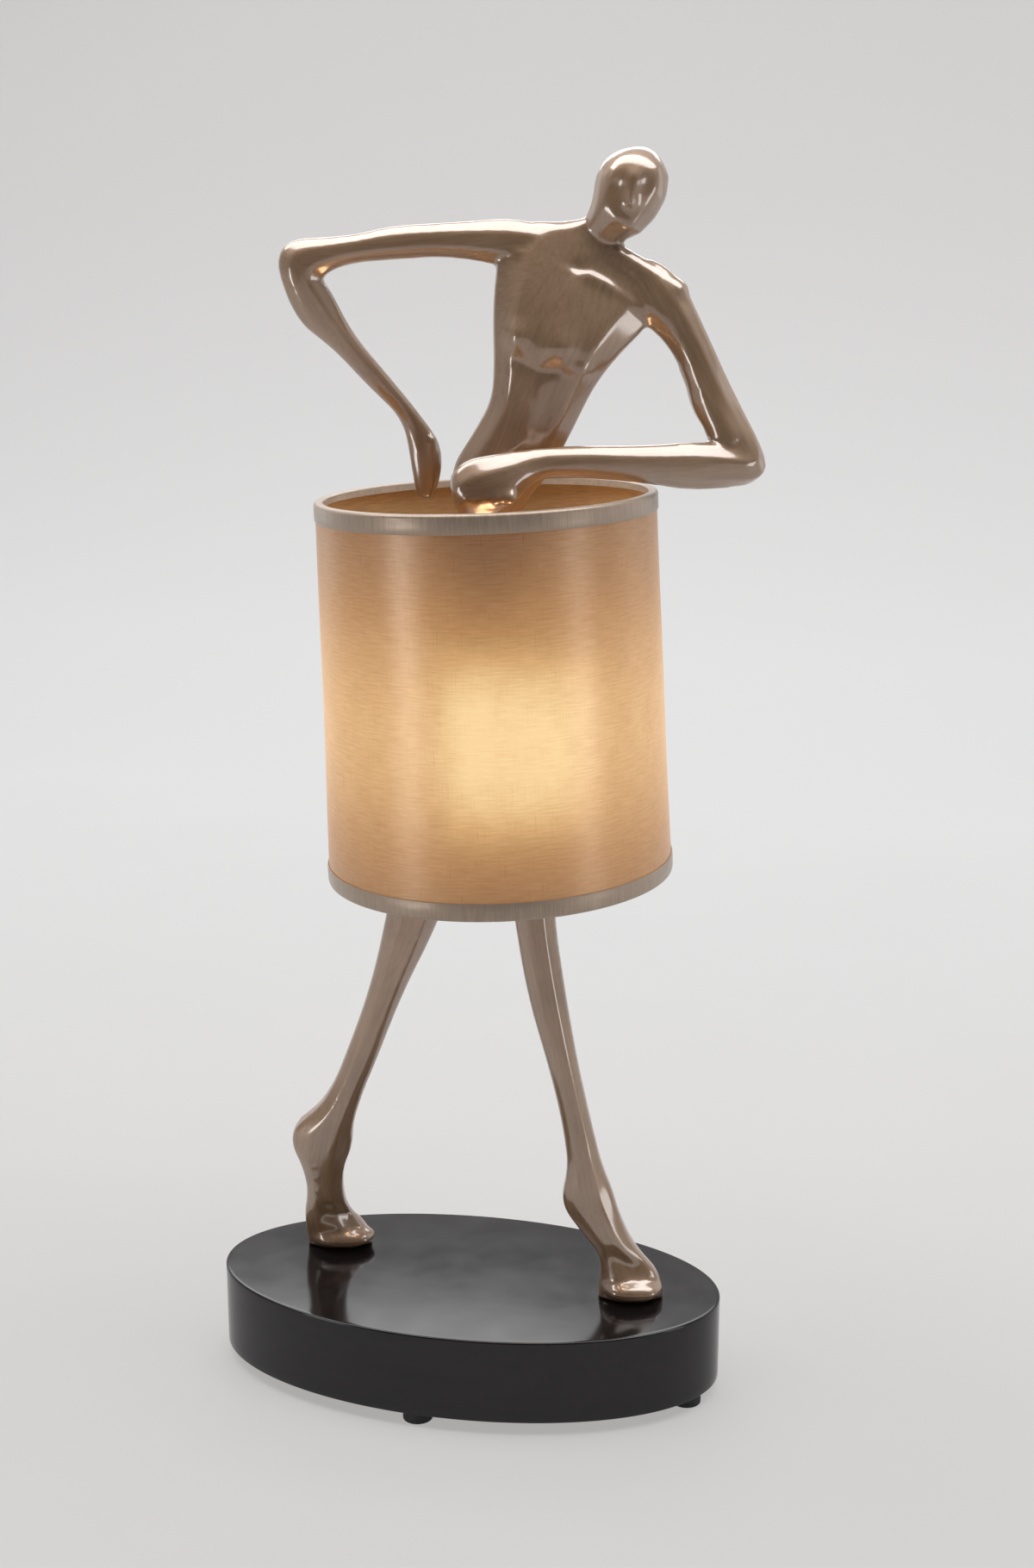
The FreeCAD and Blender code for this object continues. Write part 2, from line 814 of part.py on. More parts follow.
def grub_rod(radius, inner, outer):
    """A rod from the post out through the small of the back, in the seat's frame."""
    height = torso_level().value + d.grub_height.value
    return Part.makeCylinder(radius, outer - inner, Vector(0, inner, height), BACK)


def upper_body():
    """The torso, which lifts off the post, with the arms and the head joined to it."""
    frame = figure_frame()
    low = torso_level().value
    bush_radius = d.post_radius.value + d.running_gap.value + d.bush_wall.value
    torso = limb([seat_station(low)] + stations_of("torso"), FORMS["torso"], (axis_way(), None))
    for label in ("right_arm", "left_arm"):
        arm = limb(stations_of(label), FORMS[label])
        casting(label, arm.cut(torso), frame)
    head = limb(stations_of("head"), FORMS["head"], (None, UP), planes=True).fuse(nose())
    casting("head", head.cut(torso), frame)
    grub_hole = grub_rod(d.grub_radius.value + d.thread_gap.value, 0, 2 * d.seat_half_depth.value)
    grub_hole.Placement = seat_in_figure()
    clear = d.fit_gap.value
    torso = torso.cut(seat_rod(bush_radius + d.thread_gap.value, low - OVERCUT, low + d.bush_height.value))
    torso = torso.cut(seat_rod(d.post_radius.value + clear, low, low + d.post_reach.value + clear))
    casting("torso", torso.cut(grub_hole), frame)

    bore = d.post_radius + d.running_gap
    bush = turned("TorsoBush", tube_profile(bore, bore + d.bush_wall, torso_level(),
                                            torso_level() + d.bush_height))
    side_hole = Placement(UP * (low + d.grub_height.value), Rotation(ACROSS, -90))
    bush = bored(bush, "BushSideHole", d.grub_radius + d.thread_gap, d.collar_radius, side_hole)
    keep(bush, "torso_bush", seat_frame())
    grub = doc.addObject("Part::Feature", "GrubScrew")
    inner = d.post_radius.value + d.thread_gap.value
    grub.Shape = grub_rod(d.grub_radius.value, inner, inner + d.grub_length.value)
    keep(grub, "grub_screw", seat_frame())


def nose():
    """A plain wedge down the middle of the face."""
    middle, half = d.nose_tip_u.value, d.nose_half_width.value
    low, high = d.nose_tip_w.value, d.nose_bridge_w.value
    tip = Vector(middle, d.nose_tip_v.value, low)
    bridge = Vector(middle, d.nose_bridge_v.value, high)
    root = Vector(middle, d.nose_root_v.value, (low + high) / 2)
    wings = [Vector(middle + side * half, d.nose_wing_v.value, low) for side in (-1, 1)]
    rim = [bridge, wings[0], wings[1]]
    return facets([[a, b, end] for end in (tip, root) for a, b in zip(rim, rim[1:] + rim[:1])])


def facets(outlines):
    """A solid between flat faces, each given by its corners."""
    faces = [Part.Face(Part.makePolygon(corners + corners[:1])) for corners in outlines]
    shell = Part.makeShell(faces)
    shell.sewShape()
    return Part.makeSolid(shell)


# ---------------------------------------------------------------- shade

def wall_radius(drop):
    """The drum's outer radius at a depth below its top edge."""
    growth = d.shade_bottom_radius - d.shade_top_radius
    return d.shade_top_radius + growth * drop / d.shade_height


def shade():
    """The drum of fabric on two wire rings, its trims, and the spider that turns on the collar."""
    seat = seat_frame()
    low = -d.shade_drop
    top = d.shade_height - d.shade_drop
    skin, trim, wire = d.shade_skin, d.trim_skin, 2 * d.ring_wire
    drum = turned("ShadeDrum", [
        (d.shade_bottom_radius - skin, low), (d.shade_bottom_radius, low),
        (d.shade_top_radius, top), (d.shade_top_radius - skin, top),
    ])
    keep(drum, "shade_fabric", seat)
    # each ring fits the narrow end of the wall beside it, and each trim the wide end
    edges = (("top", top, d.shade_top_radius, wall_radius(wire), wall_radius(d.trim_height), 1),
             ("bottom", low, d.shade_bottom_radius, wall_radius(d.shade_height - wire),
              wall_radius(d.shade_height - d.trim_height), -1))
    for name, edge, rim, at_ring, at_trim, way in edges:
        radius = smaller(rim, at_ring)
        widest = larger(rim, at_trim)
        inner = radius - skin - wire
        band = turned(f"{name}_trim_band", [
            (widest, edge - way * d.trim_height), (widest + trim, edge - way * d.trim_height),
            (widest + trim, edge + way * trim), (inner, edge + way * trim),
            (inner, edge), (widest, edge),
        ])
        keep(band, f"shade_{name}_trim", seat)
        ring = turned(f"{name}_ring_turning", tube_profile(inner, radius - skin, edge - way * wire, edge))
        keep(ring, f"shade_{name}_ring", seat)
    spider(top, wire, seat)


def spider(top, wire, seat):
    """The hub ring and its arms: each drops from the top ring and runs in to the hub."""
    body = new_body("Spider")
    hub_low = d.collar_thickness
    hub_height = d.boss_height - d.hub_play
    disc = new_sketch(body, "hub_disc", "XY_Plane", hub_low)
    draw_circle(disc, 0, 0, d.hub_radius)
    pad(body, disc, hub_height)
    arm_height = hub_low + hub_height / 2
    narrowest = smaller(d.shade_top_radius, wall_radius(top - arm_height + d.spider_wire))
    reach = narrowest - d.shade_skin - d.ring_wire
    root = d.boss_radius + d.spider_wire
    path = new_sketch(body, "arm_path", "XZ_Plane")
    corner = Vector(reach.value, arm_height.value, 0)
    path.addGeometry(Part.LineSegment(Vector(root.value, arm_height.value, 0), corner), False)
    path.addGeometry(Part.LineSegment(corner, Vector(reach.value, (top - wire).value, 0)), False)
    path.addConstraint(Sketcher.Constraint("Coincident", 0, 2, 1, 1))
    pin_point(path, 0, 1, root, arm_height)
    pin_point(path, 1, 1, reach, arm_height)
    pin_point(path, 1, 2, reach, top - wire)
    section = new_sketch(body, "arm_section", "YZ_Plane", root)
    draw_circle(section, 0, arm_height, d.spider_wire)
    doc.recompute()
    arm = body.newObject("PartDesign::AdditivePipe", "arm")
    arm.Profile = section
    arm.Spine = (path, ["Edge1", "Edge2"])
    arm.Transition = "Right corner"
    body.Tip = arm
    doc.recompute()
    arms = body.newObject("PartDesign::PolarPattern", "arms")
    arms.Originals = [arm]
    plane = next(f for f in body.Origin.OriginFeatures if f.Role == "Z_Axis")
    arms.Axis = (plane, [""])
    arms.Angle = 360
    arms.Occurrences = int(d.spider_arms.value)
    body.Tip = arms
    hole = new_sketch(body, "hub_bore", "XY_Plane")
    draw_circle(hole, 0, 0, d.boss_radius + d.running_gap)
    pocket(body, hole, 3 * d.boss_height, upward=True)
    # one arm stands at the back, behind the figure
    keep(body, "shade_spider", seat.multiply(Placement(ORIGIN, Rotation(UP, 90))))


# ---------------------------------------------------------------- lamp holder

def socket_frame():
    place = Vector(d.socket_u.value, d.socket_v.value, d.socket_height.value)
    return figure_frame().multiply(Placement(place, Rotation()))


def bracket_boss():
    """A flat pad cast on the front of the left thigh, which the bracket is screwed to."""
    gap = d.fit_gap.value
    width = d.bracket_width.value - 2 * d.boss_margin.value
    centre = d.socket_u.value + d.bracket_shift.value
    low = d.socket_height.value + gap
    depth = d.bracket_seat.value - d.boss_back.value
    height = d.bracket_rise.value - d.bracket_thickness.value
    return Part.makeBox(width, depth, height, Vector(centre - width / 2, -d.bracket_seat.value, low))


def bracket_screw_places():
    """The bracket's screws, in the figure's frame, on the face of the pad."""
    centre = d.socket_u.value + d.bracket_shift.value
    heights = (d.bracket_screw_low.value, d.bracket_screw_low.value + d.bracket_screw_pitch.value)
    return [Vector(centre, -d.bracket_seat.value, d.socket_height.value + up) for up in heights]


def bracket_screw_holes():
    radius = d.screw_radius.value + d.thread_gap.value
    depth = d.screw_length.value - d.bracket_thickness.value + d.thread_gap.value
    return [Part.makeCylinder(radius, depth + OVERCUT, place - BACK * OVERCUT, BACK)
            for place in bracket_screw_places()]


def lamp_holder():
    """A bent bracket on the left thigh, and on it the cap, shell, liner and contacts of the socket."""
    frame = socket_frame()
    bracket = new_body("Bracket")
    profile = new_sketch(bracket, "bracket_profile", "YZ_Plane", d.bracket_shift - d.bracket_width / 2)
    seat = -d.bracket_seat - d.socket_v
    front = -d.locknut_radius - d.bracket_overhang
    draw_outline(profile, [
        (front, -d.bracket_thickness), (seat, -d.bracket_thickness),
        (seat, d.bracket_rise - d.bracket_thickness),
        (seat - d.bracket_thickness, d.bracket_rise - d.bracket_thickness),
        (seat - d.bracket_thickness, 0), (front, 0),
    ])
    pad(bracket, profile, d.bracket_width)
    through = d.bracket_thickness + 2 * OVERCUT
    plate = bored(bracket, "NippleHole", d.nipple_radius + d.fit_gap, through,
                  Placement(-UP * (d.bracket_thickness.value + OVERCUT), Rotation()))
    for i in range(2):
        height = d.bracket_screw_low + i * d.bracket_screw_pitch
        face = seat.value - d.bracket_thickness.value - OVERCUT
        place = Vector(d.bracket_shift.value, face, height.value)
        plate = bored(plate, f"BracketHole{i}", d.screw_radius + d.fit_gap, through,
                      Placement(place, Rotation(ACROSS, -90)))
    keep(plate, "socket_bracket", frame)
    screw = turned("BracketScrew", screw_profile(d.screw_length))
    turn = Rotation(ACROSS, -90)
    at_bracket = [Placement(place - BACK * d.bracket_thickness.value, turn)
                  for place in bracket_screw_places()]
    copies("bracket_screws", screw, at_bracket, figure_frame())

    low = -d.bracket_thickness - d.locknut_height
    nipple = turned("Nipple", tube_profile(
        d.nipple_radius - d.nipple_wall, d.nipple_radius, low, low + d.nipple_length))
    keep(nipple, "socket_nipple", frame)
    nut = hex_nut("Locknut", d.locknut_radius, d.nipple_radius + d.thread_gap, d.locknut_height)
    keep(nut, "socket_locknut", frame.multiply(Placement(UP * low.value, Rotation())))

    wall = d.sheet_wall
    cap = turned("SocketCap", [
        (d.nipple_radius + d.thread_gap, 0), (d.cap_radius, 0), (d.cap_radius, d.cap_height),
        (d.cap_radius - wall, d.cap_height), (d.cap_radius - wall, wall),
        (d.nipple_radius + d.thread_gap, wall),
    ])
    keep(cap, "socket_cap", frame)
    shell_radius = d.cap_radius - wall - d.thread_gap
    shell_low = d.cap_height - d.shell_lap
    shell_top = shell_low + d.shell_height
    knob_way = Placement(UP * d.knob_height.value, Rotation(BACK, -90))
    shell = turned("SocketShell", tube_profile(shell_radius - wall, shell_radius, shell_low, shell_top))
    shell = bored(shell, "ShellKnobHole", d.shaft_radius + d.fit_gap, d.knob_reach, knob_way)
    keep(shell, "socket_shell", frame)
    liner_radius = shell_radius - wall - d.thread_gap
    liner = turned("SocketLiner", tube_profile(liner_radius - d.liner_wall, liner_radius,
                                               shell_low, shell_top - wall))
    liner = bored(liner, "LinerKnobHole", d.shaft_radius + d.fit_gap, d.knob_reach, knob_way)
    keep(liner, "socket_liner", frame)
    block_radius = liner_radius - d.liner_wall - d.thread_gap
    block_top = wall + d.block_height
    block = turned("SwitchBlock", [
        (0, d.block_core_low), (d.block_core_radius, d.block_core_low), (d.block_core_radius, wall),
        (block_radius, wall), (block_radius, block_top), (0, block_top),
    ])
    block = bored(block, "BlockKnobHole", d.shaft_radius + d.running_gap, d.knob_reach,
                  Placement(Vector(-d.shaft_sink.value + d.thread_gap.value, 0, d.knob_height.value),
                            Rotation(BACK, -90)))
    keep(block, "switch_block", frame)
    thread = turned("ScrewShell", tube_profile(
        d.screw_shell_radius, d.screw_shell_radius + d.screw_shell_wall,
        block_top, block_top + d.screw_shell_height))
    keep(thread, "socket_screw_shell", frame)
    contact_top = block_top + d.contact_thickness
    contact = turned("CentreContact", [(0, block_top), (d.bulb_tip_radius, block_top),
                                       (d.bulb_tip_radius, contact_top), (0, contact_top)])
    keep(contact, "socket_contact", frame)
    switch(frame)
    bulb(frame, contact_top)


def switch(frame):
    """The turn knob on its shaft, which runs in the switch block."""
    to_knob = frame.multiply(Placement(UP * d.knob_height.value, Rotation(BACK, -90)))
    shaft = turned("SwitchShaft", [(0, d.shaft_sink), (d.shaft_radius, d.shaft_sink),
                                   (d.shaft_radius, d.knob_reach), (0, d.knob_reach)])
    keep(shaft, "switch_shaft", to_knob)
    end = d.knob_reach + d.knob_length
    step = d.knob_reach + d.knob_neck
    knob = turned("SwitchKnob", [(0, d.knob_reach), (d.knob_neck_radius, d.knob_reach),
                                 (d.knob_neck_radius, step), (d.knob_radius, step),
                                 (d.knob_radius, end), (0, end)])
    keep(knob, "switch_knob", to_knob)


def bulb(frame, low):
    """A round glass bulb: its contact tip, its screw base, and the thin glass."""
    tip_top = low + d.bulb_tip_height
    base_top = tip_top + d.bulb_base_height
    tip = turned("BulbTip", [(0, low), (d.bulb_tip_radius, low), (d.bulb_tip_radius, tip_top),
                             (0, tip_top)])
    keep(tip, "bulb_contact", frame)
    wall = d.sheet_wall
    base = turned("BulbBase", [
        (0, tip_top), (d.bulb_base_radius, tip_top), (d.bulb_base_radius, base_top),
        (d.bulb_base_radius - wall, base_top), (d.bulb_base_radius - wall, tip_top + wall),
        (0, tip_top + wall),
    ])
    keep(base, "bulb_screw_base", frame)
    outer = bulb_form(0, base_top.value)
    inner = bulb_form(d.glass_wall.value, base_top.value)
    glass = doc.addObject("Part::Feature", "BulbGlass")
    glass.Shape = outer.cut(inner)
    keep(glass, "bulb_glass", frame)


def bulb_form(inset, low):
    """The solid inside of a bulb's outline: rings of flats round a ball that runs into its neck."""
    radius = d.bulb_radius.value - inset
    neck = d.bulb_neck_radius.value - inset
    centre = low + d.bulb_height.value - d.bulb_radius.value
    flats = int(d.bulb_flats.value)
    latitudes = [math.radians(angle) for angle in BULB_LATITUDES]
    profile = [(neck, low), (neck, low + neck)]
    profile += [(radius * math.cos(turn), centre + radius * math.sin(turn)) for turn in latitudes]
    rings = []
    for reach, height in profile:
        turns = [2 * math.pi * i / flats for i in range(flats)]
        rings.append([Vector(reach * math.cos(turn), reach * math.sin(turn), height) for turn in turns])
    outlines = [rings[0], rings[-1]]
    for lower, upper in zip(rings, rings[1:]):
        for i in range(flats):
            outlines.append([lower[i - 1], lower[i], upper[i], upper[i - 1]])
    return facets(outlines)


fill_sheet()
plinth()
under_plinth()
cord_inlet()
leg_fixings()
lower_body()
waist_hardware()
upper_body()
shade()
lamp_holder()
doc.recompute()


def check_and_write():
    """Refuses a failed feature or a bad shape, then writes one STEP file per node."""
    for item in doc.Objects:
        if "Invalid" in item.State or "Error" in item.State:
            raise RuntimeError(f"{item.Label} failed: {item.State}")
    os.makedirs("parts", exist_ok=True)
    for piece in nodes:
        if piece.Shape.isNull() or not piece.Shape.isValid():
            raise RuntimeError(f"{piece.Label} has no valid shape")
        piece.Shape.exportStep(f"parts/{piece.Label}.step")
        box = piece.Shape.BoundBox
        print(f"{piece.Label:22s} {len(piece.Shape.Solids)} solids {piece.Shape.Volume:12.1f} mm3  "
              f"x {box.XMin:.1f}..{box.XMax:.1f} y {box.YMin:.1f}..{box.YMax:.1f} "
              f"z {box.ZMin:.1f}..{box.ZMax:.1f}")


check_and_write()
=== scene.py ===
"""Looks of the figural table lamp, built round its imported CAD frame.

Metres, in the CAD's row frame: floor at z = 0, +X along the plinth, +Y to the back. The figure has
a frame of its own, U to its left hand, V to its back and W up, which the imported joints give, and so
has the seat at the waist that the shade turns on.
"""

import bmesh
import bpy
import json
import math
import numpy as np
from mathutils import Matrix, Vector


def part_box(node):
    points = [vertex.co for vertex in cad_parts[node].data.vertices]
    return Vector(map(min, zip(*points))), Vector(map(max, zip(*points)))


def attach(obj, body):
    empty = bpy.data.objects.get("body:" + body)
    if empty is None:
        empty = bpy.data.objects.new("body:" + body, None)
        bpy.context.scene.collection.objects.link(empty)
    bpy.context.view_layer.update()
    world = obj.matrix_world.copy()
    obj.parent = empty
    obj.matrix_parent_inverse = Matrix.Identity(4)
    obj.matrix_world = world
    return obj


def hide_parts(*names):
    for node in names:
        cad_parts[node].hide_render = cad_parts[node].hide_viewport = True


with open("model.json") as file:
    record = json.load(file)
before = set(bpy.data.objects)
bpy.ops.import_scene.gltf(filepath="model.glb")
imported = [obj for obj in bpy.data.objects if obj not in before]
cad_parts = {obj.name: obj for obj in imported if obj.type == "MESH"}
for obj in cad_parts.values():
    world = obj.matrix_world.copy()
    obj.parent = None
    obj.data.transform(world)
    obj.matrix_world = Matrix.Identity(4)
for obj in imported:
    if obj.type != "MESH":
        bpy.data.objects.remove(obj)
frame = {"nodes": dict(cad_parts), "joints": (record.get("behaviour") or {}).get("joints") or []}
NODES = frame["nodes"]
JOINTS = {joint["name"]: joint for joint in frame["joints"]}
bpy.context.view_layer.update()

MM = 0.001
UP = Vector((0, 0, 1))
WELD, SEAM = 1e-6, 1e-7  # metres within which vertices are one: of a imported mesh, of a turned one
TINY = 1e-12  # keeps a division off zero

# ---------------------------------------------------------------- frames

FIGURE_U = -Vector(JOINTS["knob_turn"]["axis"])
FIGURE_V = UP.cross(FIGURE_U)


def on_figure(u, v, w):
    """A point of the figure's own frame, given in millimetres."""
    return (FIGURE_U * u + FIGURE_V * v + UP * w) * MM


def axis_frame(origin, axis):
    """A matrix at the origin, its Z along the axis and its X as near the figure's U as can be."""
    z = Vector(axis).normalized()
    y = z.cross(FIGURE_U).normalized()
    x = y.cross(z)
    matrix = Matrix((x, y, z)).transposed().to_4x4()
    matrix.translation = Vector(origin)
    return matrix


SEAT = axis_frame(JOINTS["shade_turn"]["pos_m"], JOINTS["shade_turn"]["axis"])
BULB_LOW, BULB_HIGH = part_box("bulb_glass")
BULB_RADIUS = (BULB_HIGH.x - BULB_LOW.x) / 2
BULB_LEVEL = BULB_HIGH.z - BULB_RADIUS
HOLDER = axis_frame(((BULB_LOW.x + BULB_HIGH.x) / 2, (BULB_LOW.y + BULB_HIGH.y) / 2, 0), UP)


def span(node, place):
    """Least and greatest radius and height of a turned node about the Z of a place."""
    back = place.inverted()
    points = [back @ vertex.co for vertex in NODES[node].data.vertices]
    radii = [math.hypot(p.x, p.y) for p in points]
    heights = [p.z for p in points]
    return min(radii), max(radii), min(heights), max(heights)


# ---------------------------------------------------------------- meshes

def add_object(name, mesh, material, body, replaced=()):
    """Puts a mesh in the scene as a piece of the lamp, riding on a body."""
    piece = bpy.data.objects.new(name, mesh)
    bpy.context.scene.collection.objects.link(piece)
    if material is not None:
        mesh.materials.append(material)
    for face in mesh.polygons:
        face.use_smooth = True
    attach(piece, body)
    if replaced:
        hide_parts(*replaced)
    return piece


def finished(piece):
    """The piece's mesh with its modifiers applied."""
    graph = bpy.context.evaluated_depsgraph_get()
    mesh = bpy.data.meshes.new_from_object(piece.evaluated_get(graph))
    piece.modifiers.clear()
    old, piece.data = piece.data, mesh
    bpy.data.meshes.remove(old)
    return piece


def turned(name, profile, place, material, body, replaced=(), sides=96, sharp=35, wave=None):
    """A closed profile of (radius, height) points turned about the Z of a place.

    wave gives, for an angle and a point of the profile, what is added to its radius. The UV layer
    holds metres: round the girth, and along the profile.
    """
    mesh = bpy.data.meshes.new(name)
    build = bmesh.new()
    layer = build.loops.layers.uv.new("metres")
    columns = []
    for i in range(sides):
        angle = 2 * math.pi * i / sides
        column = []
        for radius, height in profile:
            reach = radius + (wave(angle, radius, height) if wave else 0)
            point = Vector((reach * math.cos(angle), reach * math.sin(angle), height))
            column.append(build.verts.new(place @ point))
        columns.append(column)
    girth = 2 * math.pi * max(radius for radius, height in profile)
    runs = [0.0]
    for (r0, h0), (r1, h1) in zip(profile, profile[1:] + profile[:1]):
        runs.append(runs[-1] + math.hypot(r1 - r0, h1 - h0))
    count = len(profile)
    for i in range(sides):
        here, there = columns[i], columns[(i + 1) % sides]
        for j in range(count):
            k = (j + 1) % count
            corners = [(here[j], i, j), (there[j], i + 1, j), (there[k], i + 1, j + 1),
                       (here[k], i, j + 1)]
            if profile[j][0] == 0 and profile[k][0] == 0:
                continue
            face = build.faces.new([corner[0] for corner in corners])
            for loop, (vertex, along, up) in zip(face.loops, corners):
                loop[layer].uv = (girth * along / sides, runs[up])
    bmesh.ops.remove_doubles(build, verts=build.verts, dist=SEAM)
    bmesh.ops.recalc_face_normals(build, faces=build.faces)
    build.to_mesh(mesh)
    build.free()
    mesh.set_sharp_from_angle(angle=math.radians(sharp))
    return add_object(name, mesh, material, body, replaced)


# ---------------------------------------------------------------- materials

THREADS_ROUND, THREADS_UP = 1400, 900  # slubs per metre, round the girth and up the cloth


class Paint:
    """A Principled material being made, with short calls for the nodes that feed it."""

    def __init__(self, name, colour, roughness, metallic=0.0, **sockets):
        self.material = bpy.data.materials.new(name)
        self.material.use_nodes = True
        self.tree = self.material.node_tree
        self.shader = self.tree.nodes["Principled BSDF"]
        self.set("Base Color", (*colour, 1))
        self.set("Roughness", roughness)
        self.set("Metallic", metallic)
        for socket, value in sockets.items():
            self.set(socket.replace("_", " ").title().replace("Ior", "IOR"), value)

    def set(self, socket, value):
        self.shader.inputs[socket].default_value = value

    def node(self, kind, values=(), **settings):
        made = self.tree.nodes.new(kind)
        for setting, value in settings.items():
            setattr(made, setting, value)
        for socket, value in dict(values).items():
            if isinstance(value, bpy.types.NodeSocket):
                self.tree.links.new(value, made.inputs[socket])
            else:
                made.inputs[socket].default_value = value
        return made

    def feed(self, socket, value):
        self.tree.links.new(value, self.shader.inputs[socket])

    def math(self, operation, *terms):
        return self.node("ShaderNodeMath", dict(enumerate(terms)), operation=operation).outputs[0]

    def vector(self, operation, *terms):
        made = self.node("ShaderNodeVectorMath", dict(enumerate(terms)), operation=operation)
        number = operation in ("LENGTH", "DOT_PRODUCT", "DISTANCE")
        return made.outputs["Value" if number else "Vector"]

    def place(self):
        """Where the point is on the piece, in metres, at rest."""
        return self.node("ShaderNodeTexCoord").outputs["Object"]

    def in_room(self):
        """Where the point is in the scene, in metres, also when its body has moved."""
        return self.node("ShaderNodeNewGeometry").outputs["Position"]

    def attribute(self, name):
        return self.node("ShaderNodeAttribute", attribute_name=name).outputs["Vector"]

    def metres(self):
        return self.node("ShaderNodeUVMap", uv_map="metres").outputs["UV"]

    def stretched(self, vector, stretch):
        return self.vector("MULTIPLY", vector, stretch)

    def noise(self, vector, scale, detail=3, roughness=0.5, distortion=0.0):
        values = {"Vector": vector, "Scale": scale, "Detail": detail, "Roughness": roughness,
                  "Distortion": distortion}
        return self.node("ShaderNodeTexNoise", values).outputs[0]

    def ramp(self, factor, *stops):
        made = self.node("ShaderNodeValToRGB", {0: factor})
        elements = made.color_ramp.elements
        while len(elements) < len(stops):
            elements.new(0.5)
        for element, (position, colour) in zip(elements, stops):
            element.position = position
            element.color = (*colour, 1)
        return made.outputs[0]

    def span(self, value, low, high, to_low=0.0, to_high=1.0):
        values = {0: value, 1: low, 2: high, 3: to_low, 4: to_high}
        return self.node("ShaderNodeMapRange", values).outputs[0]

    def bump(self, height, distance, strength=1.0, base=None):
        values = {"Height": height, "Distance": distance, "Strength": strength}
        if base is not None:
            values["Normal"] = base
        return self.node("ShaderNodeBump", values).outputs[0]


def cast_bronze():
    """Taupe lacquer brushed along every limb over the casting, under a thick clear coat."""
    paint = Paint("cast_bronze", (0.28, 0.17, 0.10), 0.36, 0.3, coat_weight=1.0,
                  coat_roughness=0.12, coat_ior=2.0)
    grain = paint.attribute("grain")
    fine = paint.noise(grain, 1500, 2, 0.5)
    broad = paint.noise(grain, 420, 2, 0.5)
    patches = paint.noise(paint.place(), 26, 2)
    streaks = paint.math(
        "ADD", paint.math("MULTIPLY", fine, 0.5), paint.math("MULTIPLY", broad, 0.5))
    cloudy = paint.math("MULTIPLY", paint.math("SUBTRACT", patches, 0.5), 0.6)
    tone = paint.math("ADD", streaks, cloudy)
    paint.feed("Base Color", paint.ramp(
        tone, (0.25, (0.215, 0.122, 0.063)), (0.5, (0.262, 0.156, 0.086)),
        (0.75, (0.310, 0.196, 0.116))))
    paint.feed("Roughness", paint.span(fine, 0.3, 0.7, 0.32, 0.42))
    paint.feed("Normal", paint.bump(streaks, 0.00002, 0.3))
    paint.feed("Coat Normal", paint.bump(paint.noise(paint.place(), 120, 2), 0.00004, 0.3))
    return paint.material


def black_lacquer():
    """Piano lacquer over wood: deep black, with the faintest waviness."""
    paint = Paint("black_lacquer", (0.006, 0.0045, 0.0055), 0.12, ior=1.45)
    place = paint.place()
    wave = paint.noise(place, 38, 2)
    grain = paint.noise(paint.stretched(place, (9, 130, 130)), 1.6, 4, 0.6)
    paint.feed("Roughness", paint.span(wave, 0.3, 0.7, 0.1, 0.15))
    paint.feed("Base Color", paint.ramp(
        grain, (0.35, (0.005, 0.0038, 0.0046)), (0.75, (0.010, 0.0078, 0.0084))))
    paint.feed("Normal", paint.bump(wave, 0.0004, 0.08, paint.bump(grain, 0.00003, 0.1)))
    return paint.material


def weave(paint):
    """Threads both ways with slubs: the cloth's height, and the noise of each set of threads."""
    across, up = THREADS_ROUND, THREADS_UP
    metres = paint.metres()
    slub = paint.noise(paint.stretched(metres, (across * 0.05, up, 1)), 1.0, 3, 0.6)
    warp = paint.noise(paint.stretched(metres, (across, up * 0.05, 1)), 1.0, 2, 0.6)
    return paint.math("ADD", slub, paint.math("MULTIPLY", warp, 0.6)), slub, warp


